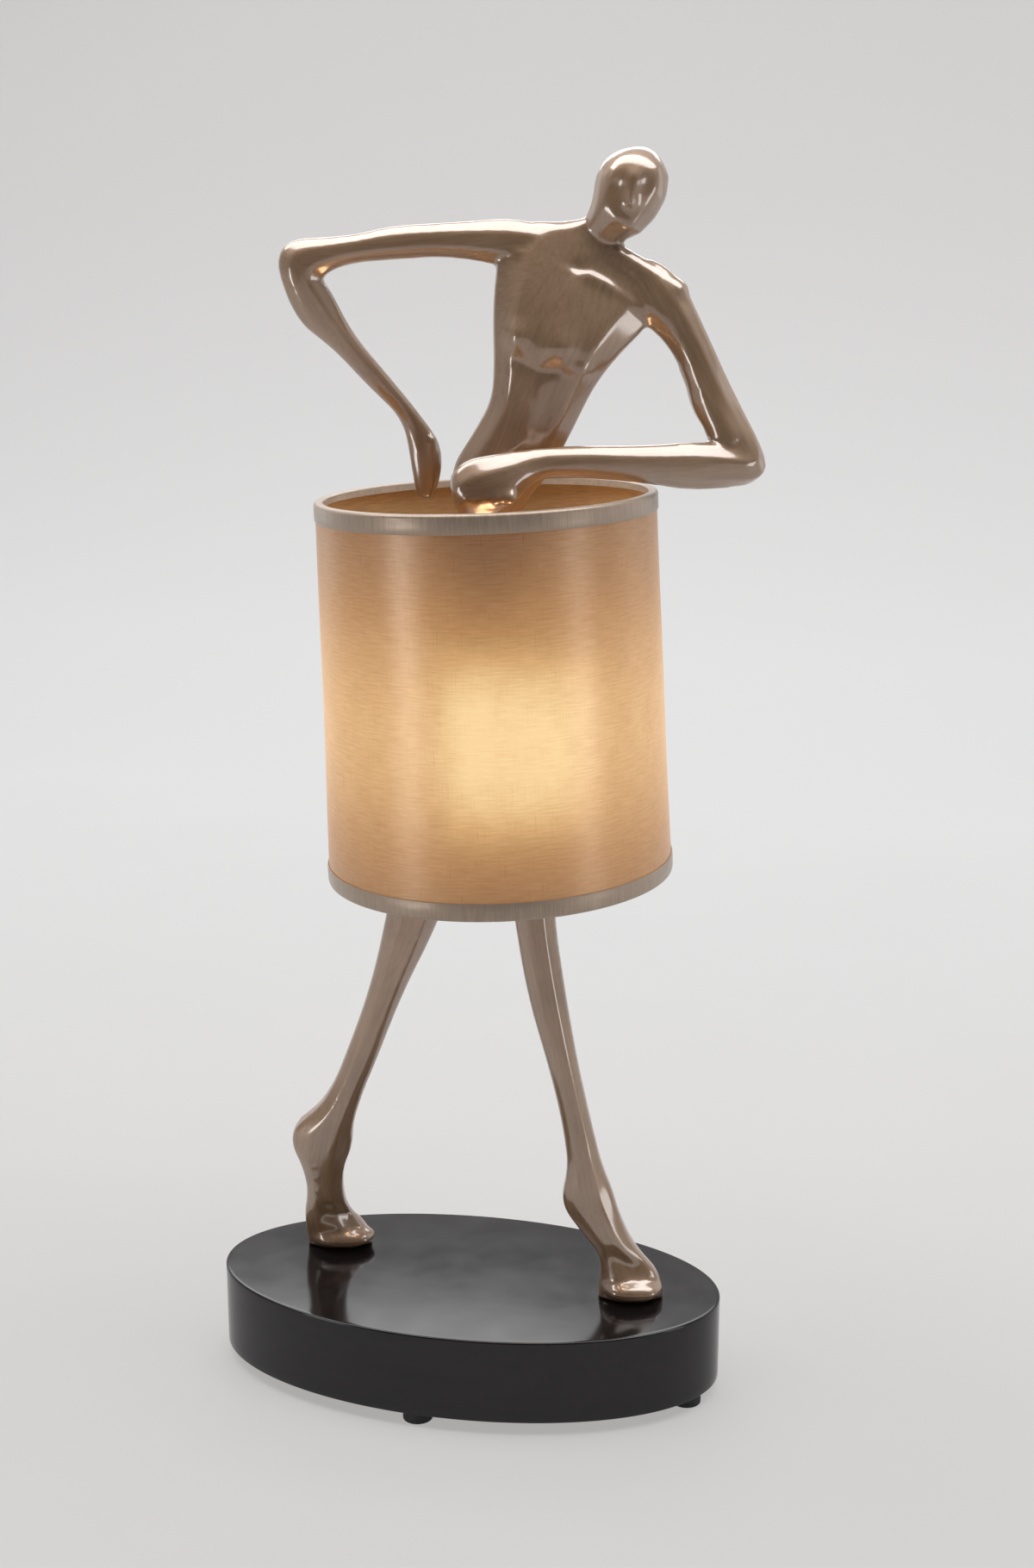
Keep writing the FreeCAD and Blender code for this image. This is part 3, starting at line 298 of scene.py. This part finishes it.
def shade_cloth():
    """Thin satin cloth, woven with slubs, with the bulb's light through it painted on as emission.

    The painted light is laid out in the room, off the bulb's place at rest, so it stays there when
    the shade turns. A painted belt of light level with the bulb falls off to both ends of the drum. A
    painted core and a narrow painted bar are brighter in front of the bulb, and painted shadows of
    the figure make a dim wedge above and a dim foot below.
    """
    paint = Paint("shade_cloth", (0.2, 0.15, 0.105), 0.3, 0.3)
    height, slub, warp = weave(paint)
    off = paint.vector("SUBTRACT", paint.in_room(), tuple(HOLDER.translation + UP * BULB_LEVEL))
    across = paint.vector("DOT_PRODUCT", off, tuple(FIGURE_U))
    depth = paint.vector("DOT_PRODUCT", off, tuple(FIGURE_V))
    rise = paint.vector("DOT_PRODUCT", off, tuple(UP))

    def bell(value, centre, width, power=2.0):
        """1 at the centre and near 0 past the width, with a flatter top for a higher power."""
        shifted = paint.math("DIVIDE", paint.math("SUBTRACT", value, centre), width)
        raised = paint.math("POWER", paint.math("ABSOLUTE", shifted), power)
        return paint.math("EXPONENT", paint.math("MULTIPLY", raised, -1.0))

    def times(*terms):
        product = terms[0]
        for term in terms[1:]:
            product = paint.math("MULTIPLY", product, term)
        return product

    # Places and widths in metres off the middle of the bulb, and how much painted light each band
    # adds or painted shadow takes away.
    core_light, bar_light, wedge_shadow_strength, foot_shadow_strength = 0.42, 0.10, 0.11, 0.035
    belt_back, belt_front = 0.46, 0.56
    wedge_offset, wedge_narrow, wedge_wide = 0.016, 0.016, 0.036
    front = paint.span(depth, 0.045, -0.02)
    belt = times(bell(rise, 0.002, 0.089), paint.span(depth, 0.16, 0.0, belt_back, belt_front))
    core = times(bell(across, 0.0, 0.046, 4.0), bell(rise, -0.002, 0.05, 4.0), front, core_light)
    bar = times(bell(across, -0.026, 0.013), bell(rise, 0.004, 0.042), front, bar_light)
    wedge_width = paint.span(rise, 0.06, 0.13, wedge_narrow, wedge_wide)
    wedge_share = paint.math("DIVIDE", paint.math("ADD", across, wedge_offset), wedge_width)
    # painted shadow of the figure: a dim wedge above the bulb
    wedge_shadow = times(bell(wedge_share, 0.0, 1.0), paint.span(rise, 0.05, 0.1), front, wedge_shadow_strength)
    # painted shadow of the figure: a dim foot below the bulb
    foot = times(bell(across, 0.0, 0.04), paint.span(rise, -0.055, -0.1), front, foot_shadow_strength)
    light = paint.math("ADD", paint.math("ADD", belt, core), bar)
    light = paint.math("SUBTRACT", paint.math("SUBTRACT", light, wedge_shadow), foot)
    threads = paint.span(height, 0.5, 1.1, 0.9, 1.1)
    clouds = paint.span(paint.noise(paint.place(), 60, 3), 0.3, 0.7, 0.95, 1.05)
    light = times(light, threads, clouds)
    glow = paint.ramp(light, (0.0, (0.115, 0.033, 0.0)), (0.28, (0.33, 0.145, 0.036)),
                      (0.55, (0.56, 0.31, 0.112)), (1.0, (0.86, 0.60, 0.285)))
    paint.feed("Emission Color", glow)
    paint.set("Emission Strength", 1.0)
    paint.feed("Base Color", paint.ramp(
        slub, (0.3, (0.165, 0.12, 0.08)), (0.7, (0.24, 0.18, 0.13))))
    paint.feed("Roughness", paint.span(warp, 0.3, 0.7, 0.27, 0.38))
    paint.feed("Normal", paint.bump(height, 0.00016, 0.4))
    return paint.material


def shade_lining():
    """The pale inner face of the cloth, its own colour with the bulb's warm light partly painted in.
    """
    paint = Paint("shade_lining", (0.52, 0.34, 0.17), 0.6)
    height, slub, _ = weave(paint)
    paint.feed("Base Color", paint.ramp(
        slub, (0.3, (0.45, 0.285, 0.13)), (0.7, (0.57, 0.385, 0.20))))
    paint.feed("Normal", paint.bump(height, 0.0002, 0.5))
    return paint.material


def satin_tape():
    """Champagne ribbon with a metallic thread, ribbed across."""
    paint = Paint("satin_tape", (0.33, 0.25, 0.185), 0.38, 0.4, sheen_weight=0.15)
    metres = paint.metres()
    ribs = paint.noise(paint.stretched(metres, (1500, 60, 1)), 1.0, 3, 0.6)
    pull = paint.noise(paint.stretched(metres, (40, 300, 1)), 1.0, 2)
    paint.feed("Base Color", paint.ramp(
        ribs, (0.3, (0.275, 0.205, 0.150)), (0.7, (0.385, 0.298, 0.228))))
    paint.feed("Roughness", paint.span(pull, 0.3, 0.7, 0.3, 0.44))
    paint.feed("Normal", paint.bump(ribs, 0.00015, 0.5, paint.bump(pull, 0.0003, 0.3)))
    return paint.material


def plain(name, colour, roughness, metallic=0.0, scale=300, depth=0.00005, spread=0.12, **sockets):
    """A material whose colour, roughness and surface vary a little with fine noise."""
    paint = Paint(name, colour, roughness, metallic, **sockets)
    fine = paint.noise(paint.place(), scale, 4, 0.6)
    darker = tuple(c * (1 - spread) for c in colour)
    lighter = tuple(min(1.0, c * (1 + spread)) for c in colour)
    paint.feed("Base Color", paint.ramp(fine, (0.3, darker), (0.7, lighter)))
    smoother, rougher = roughness * 0.85, min(1.0, roughness * 1.15)
    paint.feed("Roughness", paint.span(fine, 0.3, 0.7, smoother, rougher))
    paint.feed("Normal", paint.bump(fine, depth, 0.5))
    return paint.material


def frosted_bulb():
    """Frosted glass lit from within, a little brighter at its middle."""
    paint = Paint("frosted_bulb", (1.0, 0.9, 0.75), 0.4)
    paint.set("Emission Strength", 8.0)
    low, high = BULB_LOW.z, BULB_HIGH.z
    height = paint.node("ShaderNodeSeparateXYZ", {0: paint.place()}).outputs[2]
    paint.feed("Emission Color", paint.ramp(
        paint.span(height, low, high), (0.0, (0.85, 0.5, 0.24)), (0.45, (1.0, 0.72, 0.42)),
        (1.0, (1.0, 0.66, 0.36))))
    return paint.material


# ---------------------------------------------------------------- the figure's skin

# Centre lines that the brushing of the lacquer follows, in the figure's frame and millimetres:
# right arm, left arm, trunk, right leg and left leg.
BRUSHED_RUNS = (
    [(40, 2, 757), (-97, 8, 744), (-59, 19, 680), (-33, 28, 646), (-26, 28, 600)],
    [(112, 2, 733), (173, -9, 627), (68, -48, 626), (0, -62, 606)],
    [(16, 0, 500), (16, 0, 590), (43, -1, 658), (72, -1, 725), (104, 3, 812)],
    [(0, 4, 490), (-39, 20, 312), (-87, 35, 184), (-101, 42, 120), (-93, 49, 67)],
    [(34, -1, 490), (46, -11, 322), (74, -20, 184), (84, -24, 128), (110, -30, 67)],
)
STREAK_STRETCH = 0.03  # how fast the grain's noise runs along a line, against across it
VOXEL = 1.3 * MM
SMOOTH_FADE = 12 * MM  # over which a smoothing pass comes in above its level
EVERYWHERE, HEAD_LEVEL = 0, 771  # levels of the smoothing passes, millimetres


def points_of(piece):
    """The piece's vertices as rows of an array."""
    flat = np.empty(len(piece.data.vertices) * 3)
    piece.data.vertices.foreach_get("co", flat)
    return flat.reshape(-1, 3)


def brush(piece):
    """Stores for each point its place off the nearest centre line, which the streaks run along."""
    points = points_of(piece)
    least = np.full(len(points), np.inf)
    grain = np.zeros_like(points)
    for line in BRUSHED_RUNS:
        knots = [np.array(on_figure(*knot)) for knot in line]
        for start, end in zip(knots, knots[1:]):
            way = end - start
            reach = np.linalg.norm(way)
            share = np.clip((points - start) @ way / reach ** 2, 0, 1)[:, None]
            offset = points - (start + share * way)
            gap = np.linalg.norm(offset, axis=1)
            nearer = gap < least
            least[nearer] = gap[nearer]
            grain[nearer] = (offset + share * way * STREAK_STRETCH)[nearer]
    layer = piece.data.attributes.new("grain", "FLOAT_VECTOR", "POINT")
    layer.data.foreach_set("vector", grain.ravel())


def push(piece, *touches):
    """Sculpts by soft pushes: a touch is a line of points, a radius and a push, in millimetres."""
    points = points_of(piece)
    for line, radius, way in touches:
        knots = [np.array(on_figure(*knot)) for knot in line]
        gap = np.full(len(points), np.inf)
        for start, end in zip(knots, knots[1:] or knots):
            run = end - start
            share = np.clip((points - start) @ run / max(run @ run, TINY), 0, 1)[:, None]
            gap = np.minimum(gap, np.linalg.norm(points - (start + share * run), axis=1))
        weight = np.exp(-(gap / (radius * MM)) ** 2)[:, None]
        points += weight * np.array(on_figure(*way))
    piece.data.vertices.foreach_set("co", points.ravel())
    piece.data.update()


def ball(build, centre, radii):
    """An ellipsoid along the figure's axes, to be merged into the skin, given in millimetres."""
    axes = Matrix((FIGURE_U, FIGURE_V, UP)).transposed().to_4x4()
    scale = Matrix.Diagonal((*(radius * MM for radius in radii), 1))
    matrix = Matrix.Translation(on_figure(*centre)) @ axes @ scale
    bmesh.ops.create_icosphere(build, subdivisions=3, radius=1, matrix=matrix)


def cord_of_balls(build, start, end, first, last, steps=6):
    """A tapering ridge of balls between two points, such as a collar bone or a finger."""
    a, b = Vector(start), Vector(end)
    for i in range(steps + 1):
        share = i / steps
        radius = first + (last - first) * share
        ball(build, a.lerp(b, share), (radius, radius, radius))


def skin(name, nodes, body, details, passes):
    """One smooth casting over some CAD nodes, with sculpted details merged into it.

    passes are (times, level): how often it is smoothed, and the level it starts at in millimetres.
    """
    build = bmesh.new()
    for node in nodes:
        build.from_mesh(NODES[node].data)
    bmesh.ops.remove_doubles(build, verts=build.verts, dist=WELD)
    details(build)
    mesh = bpy.data.meshes.new(name)
    build.to_mesh(mesh)
    build.free()
    piece = add_object(name, mesh, None, body, nodes)
    merge = piece.modifiers.new("merge", "REMESH")
    merge.mode = "VOXEL"
    merge.voxel_size = VOXEL
    finished(piece)
    for times, level in passes:
        group = piece.vertex_groups.new(name=f"above_{level}")
        heights = points_of(piece)[:, 2]
        weights = np.clip((heights - level * MM) / SMOOTH_FADE, 0, 1)
        for index in np.nonzero(weights)[0]:
            group.add([int(index)], float(weights[index]), "REPLACE")
        soften = piece.modifiers.new("soften", "SMOOTH")
        soften.factor = 0.5
        soften.iterations = times
        soften.vertex_group = group.name
        finished(piece)
    return piece


def upper_details(build):
    """Elbow and hand, collar bones, neck, fingers, thumb and the fill inside the left arm."""
    elbow, hand = ((176, -9, 626), (10, 10, 12)), ((17, -64, 611), (15, 9, 8.5))
    for centre, radii in (elbow, hand):
        ball(build, centre, radii)
    right_bone = [(20, -2, 758), (35, -6, 749.5), (49.5, -8.5, 743), (64, -10, 738),
                  (72, -10.5, 736)]
    left_bone = [(75, -10.5, 736), (86, -9.5, 731), (100, -8, 721.5), (117, -5, 715)]
    bone_radius = 5.4
    for bone in (right_bone, left_bone):
        for start, end in zip(bone, bone[1:]):
            cord_of_balls(build, start, end, bone_radius, bone_radius)
    neck_cords = (((76, -8.5, 741.5), (95, -5, 750), 2.6, 3.2),
                  ((69, -8.5, 741.5), (66, -4, 756), 2.6, 3.4))
    shoulder = ((93, -1, 748), (128, -1, 726), 9, 11)
    fingers = [((u, -63, 617), (u, -71, 609.5), 5, 4.4) for u in (4, 12.5, 21, 29)]
    thumb = ((-21.5, 26, 635), (-22, 26.5, 611), 4.4, 3.2)
    for ridge in (*neck_cords, shoulder, *fingers, thumb):
        cord_of_balls(build, *ridge)
    inner_arm = ((143, -3, 684), (163, -11, 640), 10.5, 11.5)
    cord_of_balls(build, *inner_arm, steps=24)


def lower_details(build):
    """The corners of the heels and the broad soles, the right of each first."""
    heels = ((-108, 37, 156), (12, 9, 11)), ((72, -22, 140), (8, 8, 10))
    soles = ((-91, 44, 75), (24, 13, 8)), ((111, -34, 75), (21, 13, 8))
    for centre, radii in heels + soles:
        ball(build, centre, radii)


def figure():
    """The bronze casting, in the half that lifts off and the half that stays."""
    bronze = cast_bronze()
    upper = skin("figure_upper", ["torso", "head", "right_arm", "left_arm"], "upper_body",
                 upper_details, [(16, EVERYWHERE), (70, HEAD_LEVEL)])
    face = [  # eye hollows, nose, chin and mouth
        ([(92, -22, 787.5)], 6, (0.2, 1.4, 0.3)),
        ([(110.5, -21, 790)], 5.2, (-0.2, 1.3, 0.3)),
        ([(102, -26, 794), (100.5, -28, 787), (99, -29, 781)], 5, (0, -1.5, 0)),
        ([(98, -21, 765)], 8, (-0.3, -1.6, -0.8)),
        ([(94, -24, 775), (101, -25, 773)], 3, (0, 0.9, 0)),
    ]
    chest = [  # breasts, pit of the neck, hollow down the trunk, ridge and crease under the breasts
        ([(33, -20, 702)], 9, (0, -3.4, 0)),
        ([(59.5, -22, 695)], 9, (0, -3.0, 0)),
        ([(70.5, -15, 742)], 5, (0, 2.0, 0)),
        ([(52, -24, 677), (50, -24, 662), (41, -20, 645)], 11, (0, 1.6, 0)),
        ([(64, -22, 684), (80, -17, 679)], 4.5, (0, -1.3, 0)),
        ([(33, -22, 687), (47, -24, 680), (58, -24, 682)], 4.5, (0, 1.3, 0)),
    ]
    push(upper, *face, *chest)
    lower = skin("figure_lower", ["pelvis", "right_leg", "left_leg"], "base", lower_details,
                 [(24, EVERYWHERE)])
    feet = [  # the instep back and the toes forward, of the right foot and the left
        ([(-100, 30, 96), (-86, 36, 92)], 7, (0, 4, 0)),
        ([(-104, 33, 76), (-74, 36, 74)], 5, (0, -2.2, 0)),
        ([(98, -42, 98), (112, -40, 90)], 7, (0, 4, 0)),
        ([(98, -44, 76), (124, -42, 74)], 5, (0, -2.2, 0)),
    ]
    push(lower, *feet)
    for piece in (upper, lower):
        brush(piece)
        piece.data.materials.append(bronze)
        for polygon in piece.data.polygons:
            polygon.use_smooth = True


# ---------------------------------------------------------------- shade

def shade():
    """The drum of cloth with its lining, and the two rolled tapes."""
    _, outer, low, high = span("shade_fabric", SEAT)
    taper, thick = 5 * MM, 1 * MM
    bottom_radius, top_radius = outer, outer - taper
    rows, sides = 60, 192
    outside = []
    inside = []
    for i in range(rows + 1):
        share = i / rows
        radius = bottom_radius + (top_radius - bottom_radius) * share
        height = low + (high - low) * share
        outside.append((radius, height))
        inside.append((radius - thick, height))

    def ease(angle, radius, height):
        """The cloth pulls in a hair between its rings and is a little uneven."""
        share = (height - low) / (high - low)
        pull = math.sin(math.pi * share)
        return -pull * 0.35 * MM * (1 + 0.5 * math.sin(7 * angle + 9 * share))

    cloth = turned("shade_cloth", outside + inside[::-1], SEAT, shade_cloth(), "shade",
                   ["shade_fabric"], sides=sides, wave=ease)
    cloth.data.materials.append(shade_lining())
    back = SEAT.inverted()
    for face in cloth.data.polygons:
        local = back @ face.center
        normal = back.to_3x3() @ face.normal
        if normal.x * local.x + normal.y * local.y < 0:
            face.material_index = 1

    tape = satin_tape()
    roll, roll_steps = 2.2 * MM, 8
    for name, way in (("top", 1), ("bottom", -1)):
        least, most, bottom, top = span(f"shade_{name}_trim", SEAT)
        rim = top if way > 0 else bottom
        foot = bottom if way > 0 else top
        wall = top_radius if way > 0 else bottom_radius
        face = most - 0.15 * MM
        skin_back = wall + (0.24 * MM if way > 0 else 0.02 * MM)
        profile = [(skin_back, foot), (face - 0.3 * MM, foot), (face, foot + way * 0.6 * MM),
                   (face + 0.1 * MM, (foot + rim) / 2), (face, rim - way * roll)]
        centre = face - roll
        for i in range(1, roll_steps + 1):
            turn = math.radians(90 * i / roll_steps)
            profile.append((centre + roll * math.cos(turn),
                            rim - way * roll * (1 - math.sin(turn))))
        tucked = rim - way * 0.8 * MM
        profile += [(least + 0.8 * MM, rim), (least, rim - way * 0.7 * MM),
                    (least + 0.3 * MM, rim - way * 0.85 * MM), (wall - thick, tucked),
                    (skin_back, tucked)]
        band = turned(f"{name}_tape", profile, SEAT, tape, "shade", [f"shade_{name}_trim"],
                      sides=sides, sharp=60)


# ---------------------------------------------------------------- plinth

def plinth():
    """The lacquered oval, its edges rounded, hollow from below."""
    low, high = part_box("plinth")
    half_length, half_width = high.x, high.y
    wall, rebate, cover = 16 * MM, 9 * MM, 3 * MM
    deck = 16 * MM
    edge = 1.4 * MM
    innermost = 84
    rings = [(wall, low.z + cover), (rebate, low.z + cover), (rebate, low.z)]
    rings += [(edge * 0.5 * (1 - math.sin(math.radians(t))),
               low.z + edge * 0.5 * (1 - math.cos(math.radians(t)))) for t in range(0, 91, 30)]
    rings += [(0, low.z + (high.z - low.z) * share) for share in (0.1, 0.5, 0.9)]
    rings += [(edge * (1 - math.cos(math.radians(t))),
               high.z - edge * (1 - math.sin(math.radians(t)))) for t in range(0, 91, 15)]
    rings += [(inset * MM, high.z) for inset in (3, 20, 50, innermost)]
    rings += [(inset, high.z - deck) for inset in (innermost * MM, 40 * MM, wall)]
    mesh = bpy.data.meshes.new("plinth_skin")
    build = bmesh.new()
    sides = 256
    loops = []
    for inset, height in rings:
        loop = []
        for i in range(sides):
            angle = 2 * math.pi * i / sides
            x, y = (half_length - inset) * math.cos(angle), (half_width - inset) * math.sin(angle)
            loop.append(build.verts.new((x, y, height)))
        loops.append(loop)
    for first, second in zip(loops, loops[1:] + loops[:1]):
        for i in range(sides):
            j = (i + 1) % sides
            build.faces.new((first[i], first[j], second[j], second[i]))
    top_end, deck_start = loops[-4], loops[-3]
    build.faces.new(top_end)
    build.faces.new(deck_start)
    well = set(top_end + deck_start)
    for face in [f for f in build.faces if set(f.verts) <= well and len(f.verts) == 4]:
        build.faces.remove(face)
    bmesh.ops.recalc_face_normals(build, faces=build.faces)
    build.to_mesh(mesh)
    build.free()
    mesh.set_sharp_from_angle(angle=math.radians(40))
    add_object("plinth_skin", mesh, black_lacquer(), "base", ["plinth"])


# ---------------------------------------------------------------- stage

def camera():
    """Where the photograph was taken from, as fitted to the plinth's oval and the shade's rims."""
    place, lens, pitch, yaw = (0.2895, -1.2518, 0.7415), 46.81, 14.19, 11.54
    data = bpy.data.cameras.new("camera")
    data.lens = lens
    data.sensor_width = 36
    data.clip_end = 50
    eye = bpy.data.objects.new("camera", data)
    eye.location = place
    eye.rotation_euler = (math.radians(90 - pitch), 0, math.radians(yaw))
    bpy.context.scene.collection.objects.link(eye)
    bpy.context.scene.camera = eye


# White area lights: name, place, target, width, height and watts.
LIGHTS = (
    ("overhead", (0.0, -0.05, 1.95), (0.0, 0.0, 0.5), 3.4, 1.0, 50),
    ("back_bank", (-0.3, 2.25, 1.9), (0, 0, 0.4), 2.8, 1.0, 26),
    ("left_strip", (-1.1, -1.15, 0.32), (0, 0, 0.45), 0.4, 0.6, 3.8),
    ("right_strip", (1.52, -0.5, 0.32), (0, 0, 0.45), 0.4, 0.6, 2.2),
    ("left_rim", (-1.6, 0.8, 0.9), (0, 0, 0.55), 0.8, 1.5, 1.8),
    ("right_rim", (1.6, 0.9, 0.9), (0, 0, 0.55), 0.8, 1.5, 1.8),
)


def area_light(name, place, target, width, height, watts):
    """A rectangle of light that faces its target."""
    data = bpy.data.lights.new(name, "AREA")
    data.shape = "RECTANGLE"
    data.size, data.size_y = width, height
    data.energy = watts
    lamp = bpy.data.objects.new(name, data)
    lamp.location = place
    way = Vector(target) - Vector(place)
    lamp.rotation_euler = way.to_track_quat("-Z", "Y").to_euler()
    bpy.context.scene.collection.objects.link(lamp)


def sweep_paper():
    """Pale paper with painted light, seen by the camera and in reflections: darker in front,
    brightest where the floor meets the wall and a little darker up the wall; it still takes the
    lamp's shadow.
    """
    paint = Paint("sweep_paper", (0.7, 0.695, 0.69), 0.95)
    run = paint.vector("DOT_PRODUCT", paint.place(), (0, 1, 1))
    fibre = paint.math("MULTIPLY", paint.noise(paint.place(), 6, 3), 0.03)
    # painted light: darker in front and up the wall, brightest at the back of the floor and the bend
    glow = paint.ramp(paint.math("ADD", paint.span(run, -0.6, 3.8), fibre),
                      (0.0, (0.50, 0.475, 0.465)), (0.2, (0.60, 0.59, 0.585)),
                      (0.5, (0.80, 0.80, 0.80)), (0.65, (0.82, 0.82, 0.82)),
                      (1.0, (0.70, 0.685, 0.68)))
    paint.feed("Base Color", paint.ramp(
        fibre, (0.0, (0.69, 0.685, 0.68)), (0.03, (0.71, 0.705, 0.70))))
    lit = paint.node("ShaderNodeEmission", {"Color": glow})
    path = paint.node("ShaderNodeLightPath")
    seen = paint.math("MAXIMUM", path.outputs["Is Camera Ray"], path.outputs["Is Glossy Ray"])
    seen = paint.math("MAXIMUM", seen, path.outputs["Is Transmission Ray"])
    lit_share = 0.7
    share = paint.math("MULTIPLY", seen, lit_share)
    mixed = paint.node("ShaderNodeMixShader",
                       {0: share, 1: paint.shader.outputs[0], 2: lit.outputs[0]})
    paint.tree.links.new(mixed.outputs[0], paint.tree.nodes["Material Output"].inputs["Surface"])
    return paint.material


def backdrop():
    """A pale seamless sweep, the floor and the wall behind it."""
    floor_front, floor_back, bend, wall_top, half = -3.0, 1.6, 0.9, 4.0, 5.0
    mesh = bpy.data.meshes.new("sweep")
    build = bmesh.new()
    line = [(floor_front, 0.0), (floor_back, 0.0)]
    line += [(floor_back + bend * math.sin(math.radians(t)), bend * (1 - math.cos(math.radians(t))))
             for t in range(6, 91, 6)]
    line.append((floor_back + bend, wall_top))
    sides = [[build.verts.new((x, y, z)) for y, z in line] for x in (-half, half)]
    for i in range(len(line) - 1):
        build.faces.new((sides[0][i], sides[1][i], sides[1][i + 1], sides[0][i + 1]))
    build.to_mesh(mesh)
    build.free()
    for face in mesh.polygons:
        face.use_smooth = True
    sweep = bpy.data.objects.new("sweep", mesh)
    bpy.context.scene.collection.objects.link(sweep)
    mesh.materials.append(sweep_paper())


def air():
    """The world: brighter behind the lamp than in front, and pale where the camera sees it."""
    strength, seen_colour = 0.62, (1.16, 1.15, 1.14, 1)
    front_tone, back_tone = (0.16, 0.155, 0.15, 1), (0.95, 0.97, 1.0, 1)
    world = bpy.data.worlds.new("studio_air")
    world.use_nodes = True
    tree = world.node_tree
    sky = tree.nodes["Background"]
    sky.inputs["Strength"].default_value = strength
    way = tree.nodes.new("ShaderNodeTexCoord")
    split = tree.nodes.new("ShaderNodeSeparateXYZ")
    tree.links.new(way.outputs["Generated"], split.inputs[0])
    lean = tree.nodes.new("ShaderNodeMapRange")
    lean.inputs["From Min"].default_value = -0.8
    lean.inputs["From Max"].default_value = 0.5
    tree.links.new(split.outputs["Y"], lean.inputs["Value"])
    tone = tree.nodes.new("ShaderNodeValToRGB")
    tone.color_ramp.elements[0].color = front_tone
    tone.color_ramp.elements[1].color = back_tone
    tree.links.new(lean.outputs[0], tone.inputs[0])
    pale = tree.nodes.new("ShaderNodeMix")
    pale.data_type = "RGBA"
    pale.inputs[7].default_value = seen_colour
    seen = tree.nodes.new("ShaderNodeLightPath")
    tree.links.new(seen.outputs["Is Camera Ray"], pale.inputs["Factor"])
    tree.links.new(tone.outputs[0], pale.inputs[6])
    tree.links.new(pale.outputs[2], sky.inputs["Color"])
    bpy.context.scene.world = world


def studio():
    """The sweep, the air, a softbox overhead, a bank behind, and strips and rims at the sides."""
    backdrop()
    air()
    for light in LIGHTS:
        area_light(*light)
    bpy.context.scene.view_settings.view_transform = "Standard"


# ---------------------------------------------------------------- materials of the nodes that stay

def dress_nodes():
    """Gives the CAD nodes that stay in sight a material of their own."""
    screw_steel = plain("zinc_steel", (0.50, 0.50, 0.51), 0.32, 0.95)
    brass = plain("pressed_brass", (0.63, 0.47, 0.22), 0.25, 0.95, spread=0.08)
    black = plain("moulded_black", (0.022, 0.020, 0.019), 0.38)
    wire = plain("painted_wire", (0.56, 0.52, 0.46), 0.42, 0.3)
    aluminium = plain("bulb_metal", (0.74, 0.74, 0.75), 0.24, 0.95)
    finishes = {
        "cover_screws": screw_steel, "leg_studs": screw_steel, "leg_washers": screw_steel,
        "leg_nuts": screw_steel, "hip_dowels": screw_steel, "centre_post": screw_steel,
        "grub_screw": screw_steel, "bracket_screws": screw_steel,
        "bottom_cover": plain("hardboard", (0.10, 0.065, 0.042), 0.7, depth=0.0002),
        "rubber_feet": plain("foot_rubber", (0.018, 0.018, 0.018), 0.75, depth=0.0001),
        "cord_bushing": black, "bushing_nut": black, "switch_knob": black, "switch_block": black,
        "seat_collar": brass, "torso_bush": brass, "socket_nipple": brass, "socket_locknut": brass,
        "socket_cap": brass, "socket_shell": brass, "socket_screw_shell": brass,
        "socket_contact": brass, "switch_shaft": brass,
        "socket_liner": plain("fibre_card", (0.36, 0.29, 0.21), 0.8),
        "socket_bracket": plain("bracket_bronze", (0.20, 0.14, 0.10), 0.35, 0.7),
        "shade_top_ring": wire, "shade_bottom_ring": wire, "shade_spider": wire,
        "bulb_contact": aluminium, "bulb_screw_base": aluminium, "bulb_glass": frosted_bulb(),
    }
    for name, finish in finishes.items():
        for slot in NODES[name].material_slots:
            slot.link = "OBJECT"
            slot.material = finish


camera()
studio()
plinth()
shade()
figure()
dress_nodes()
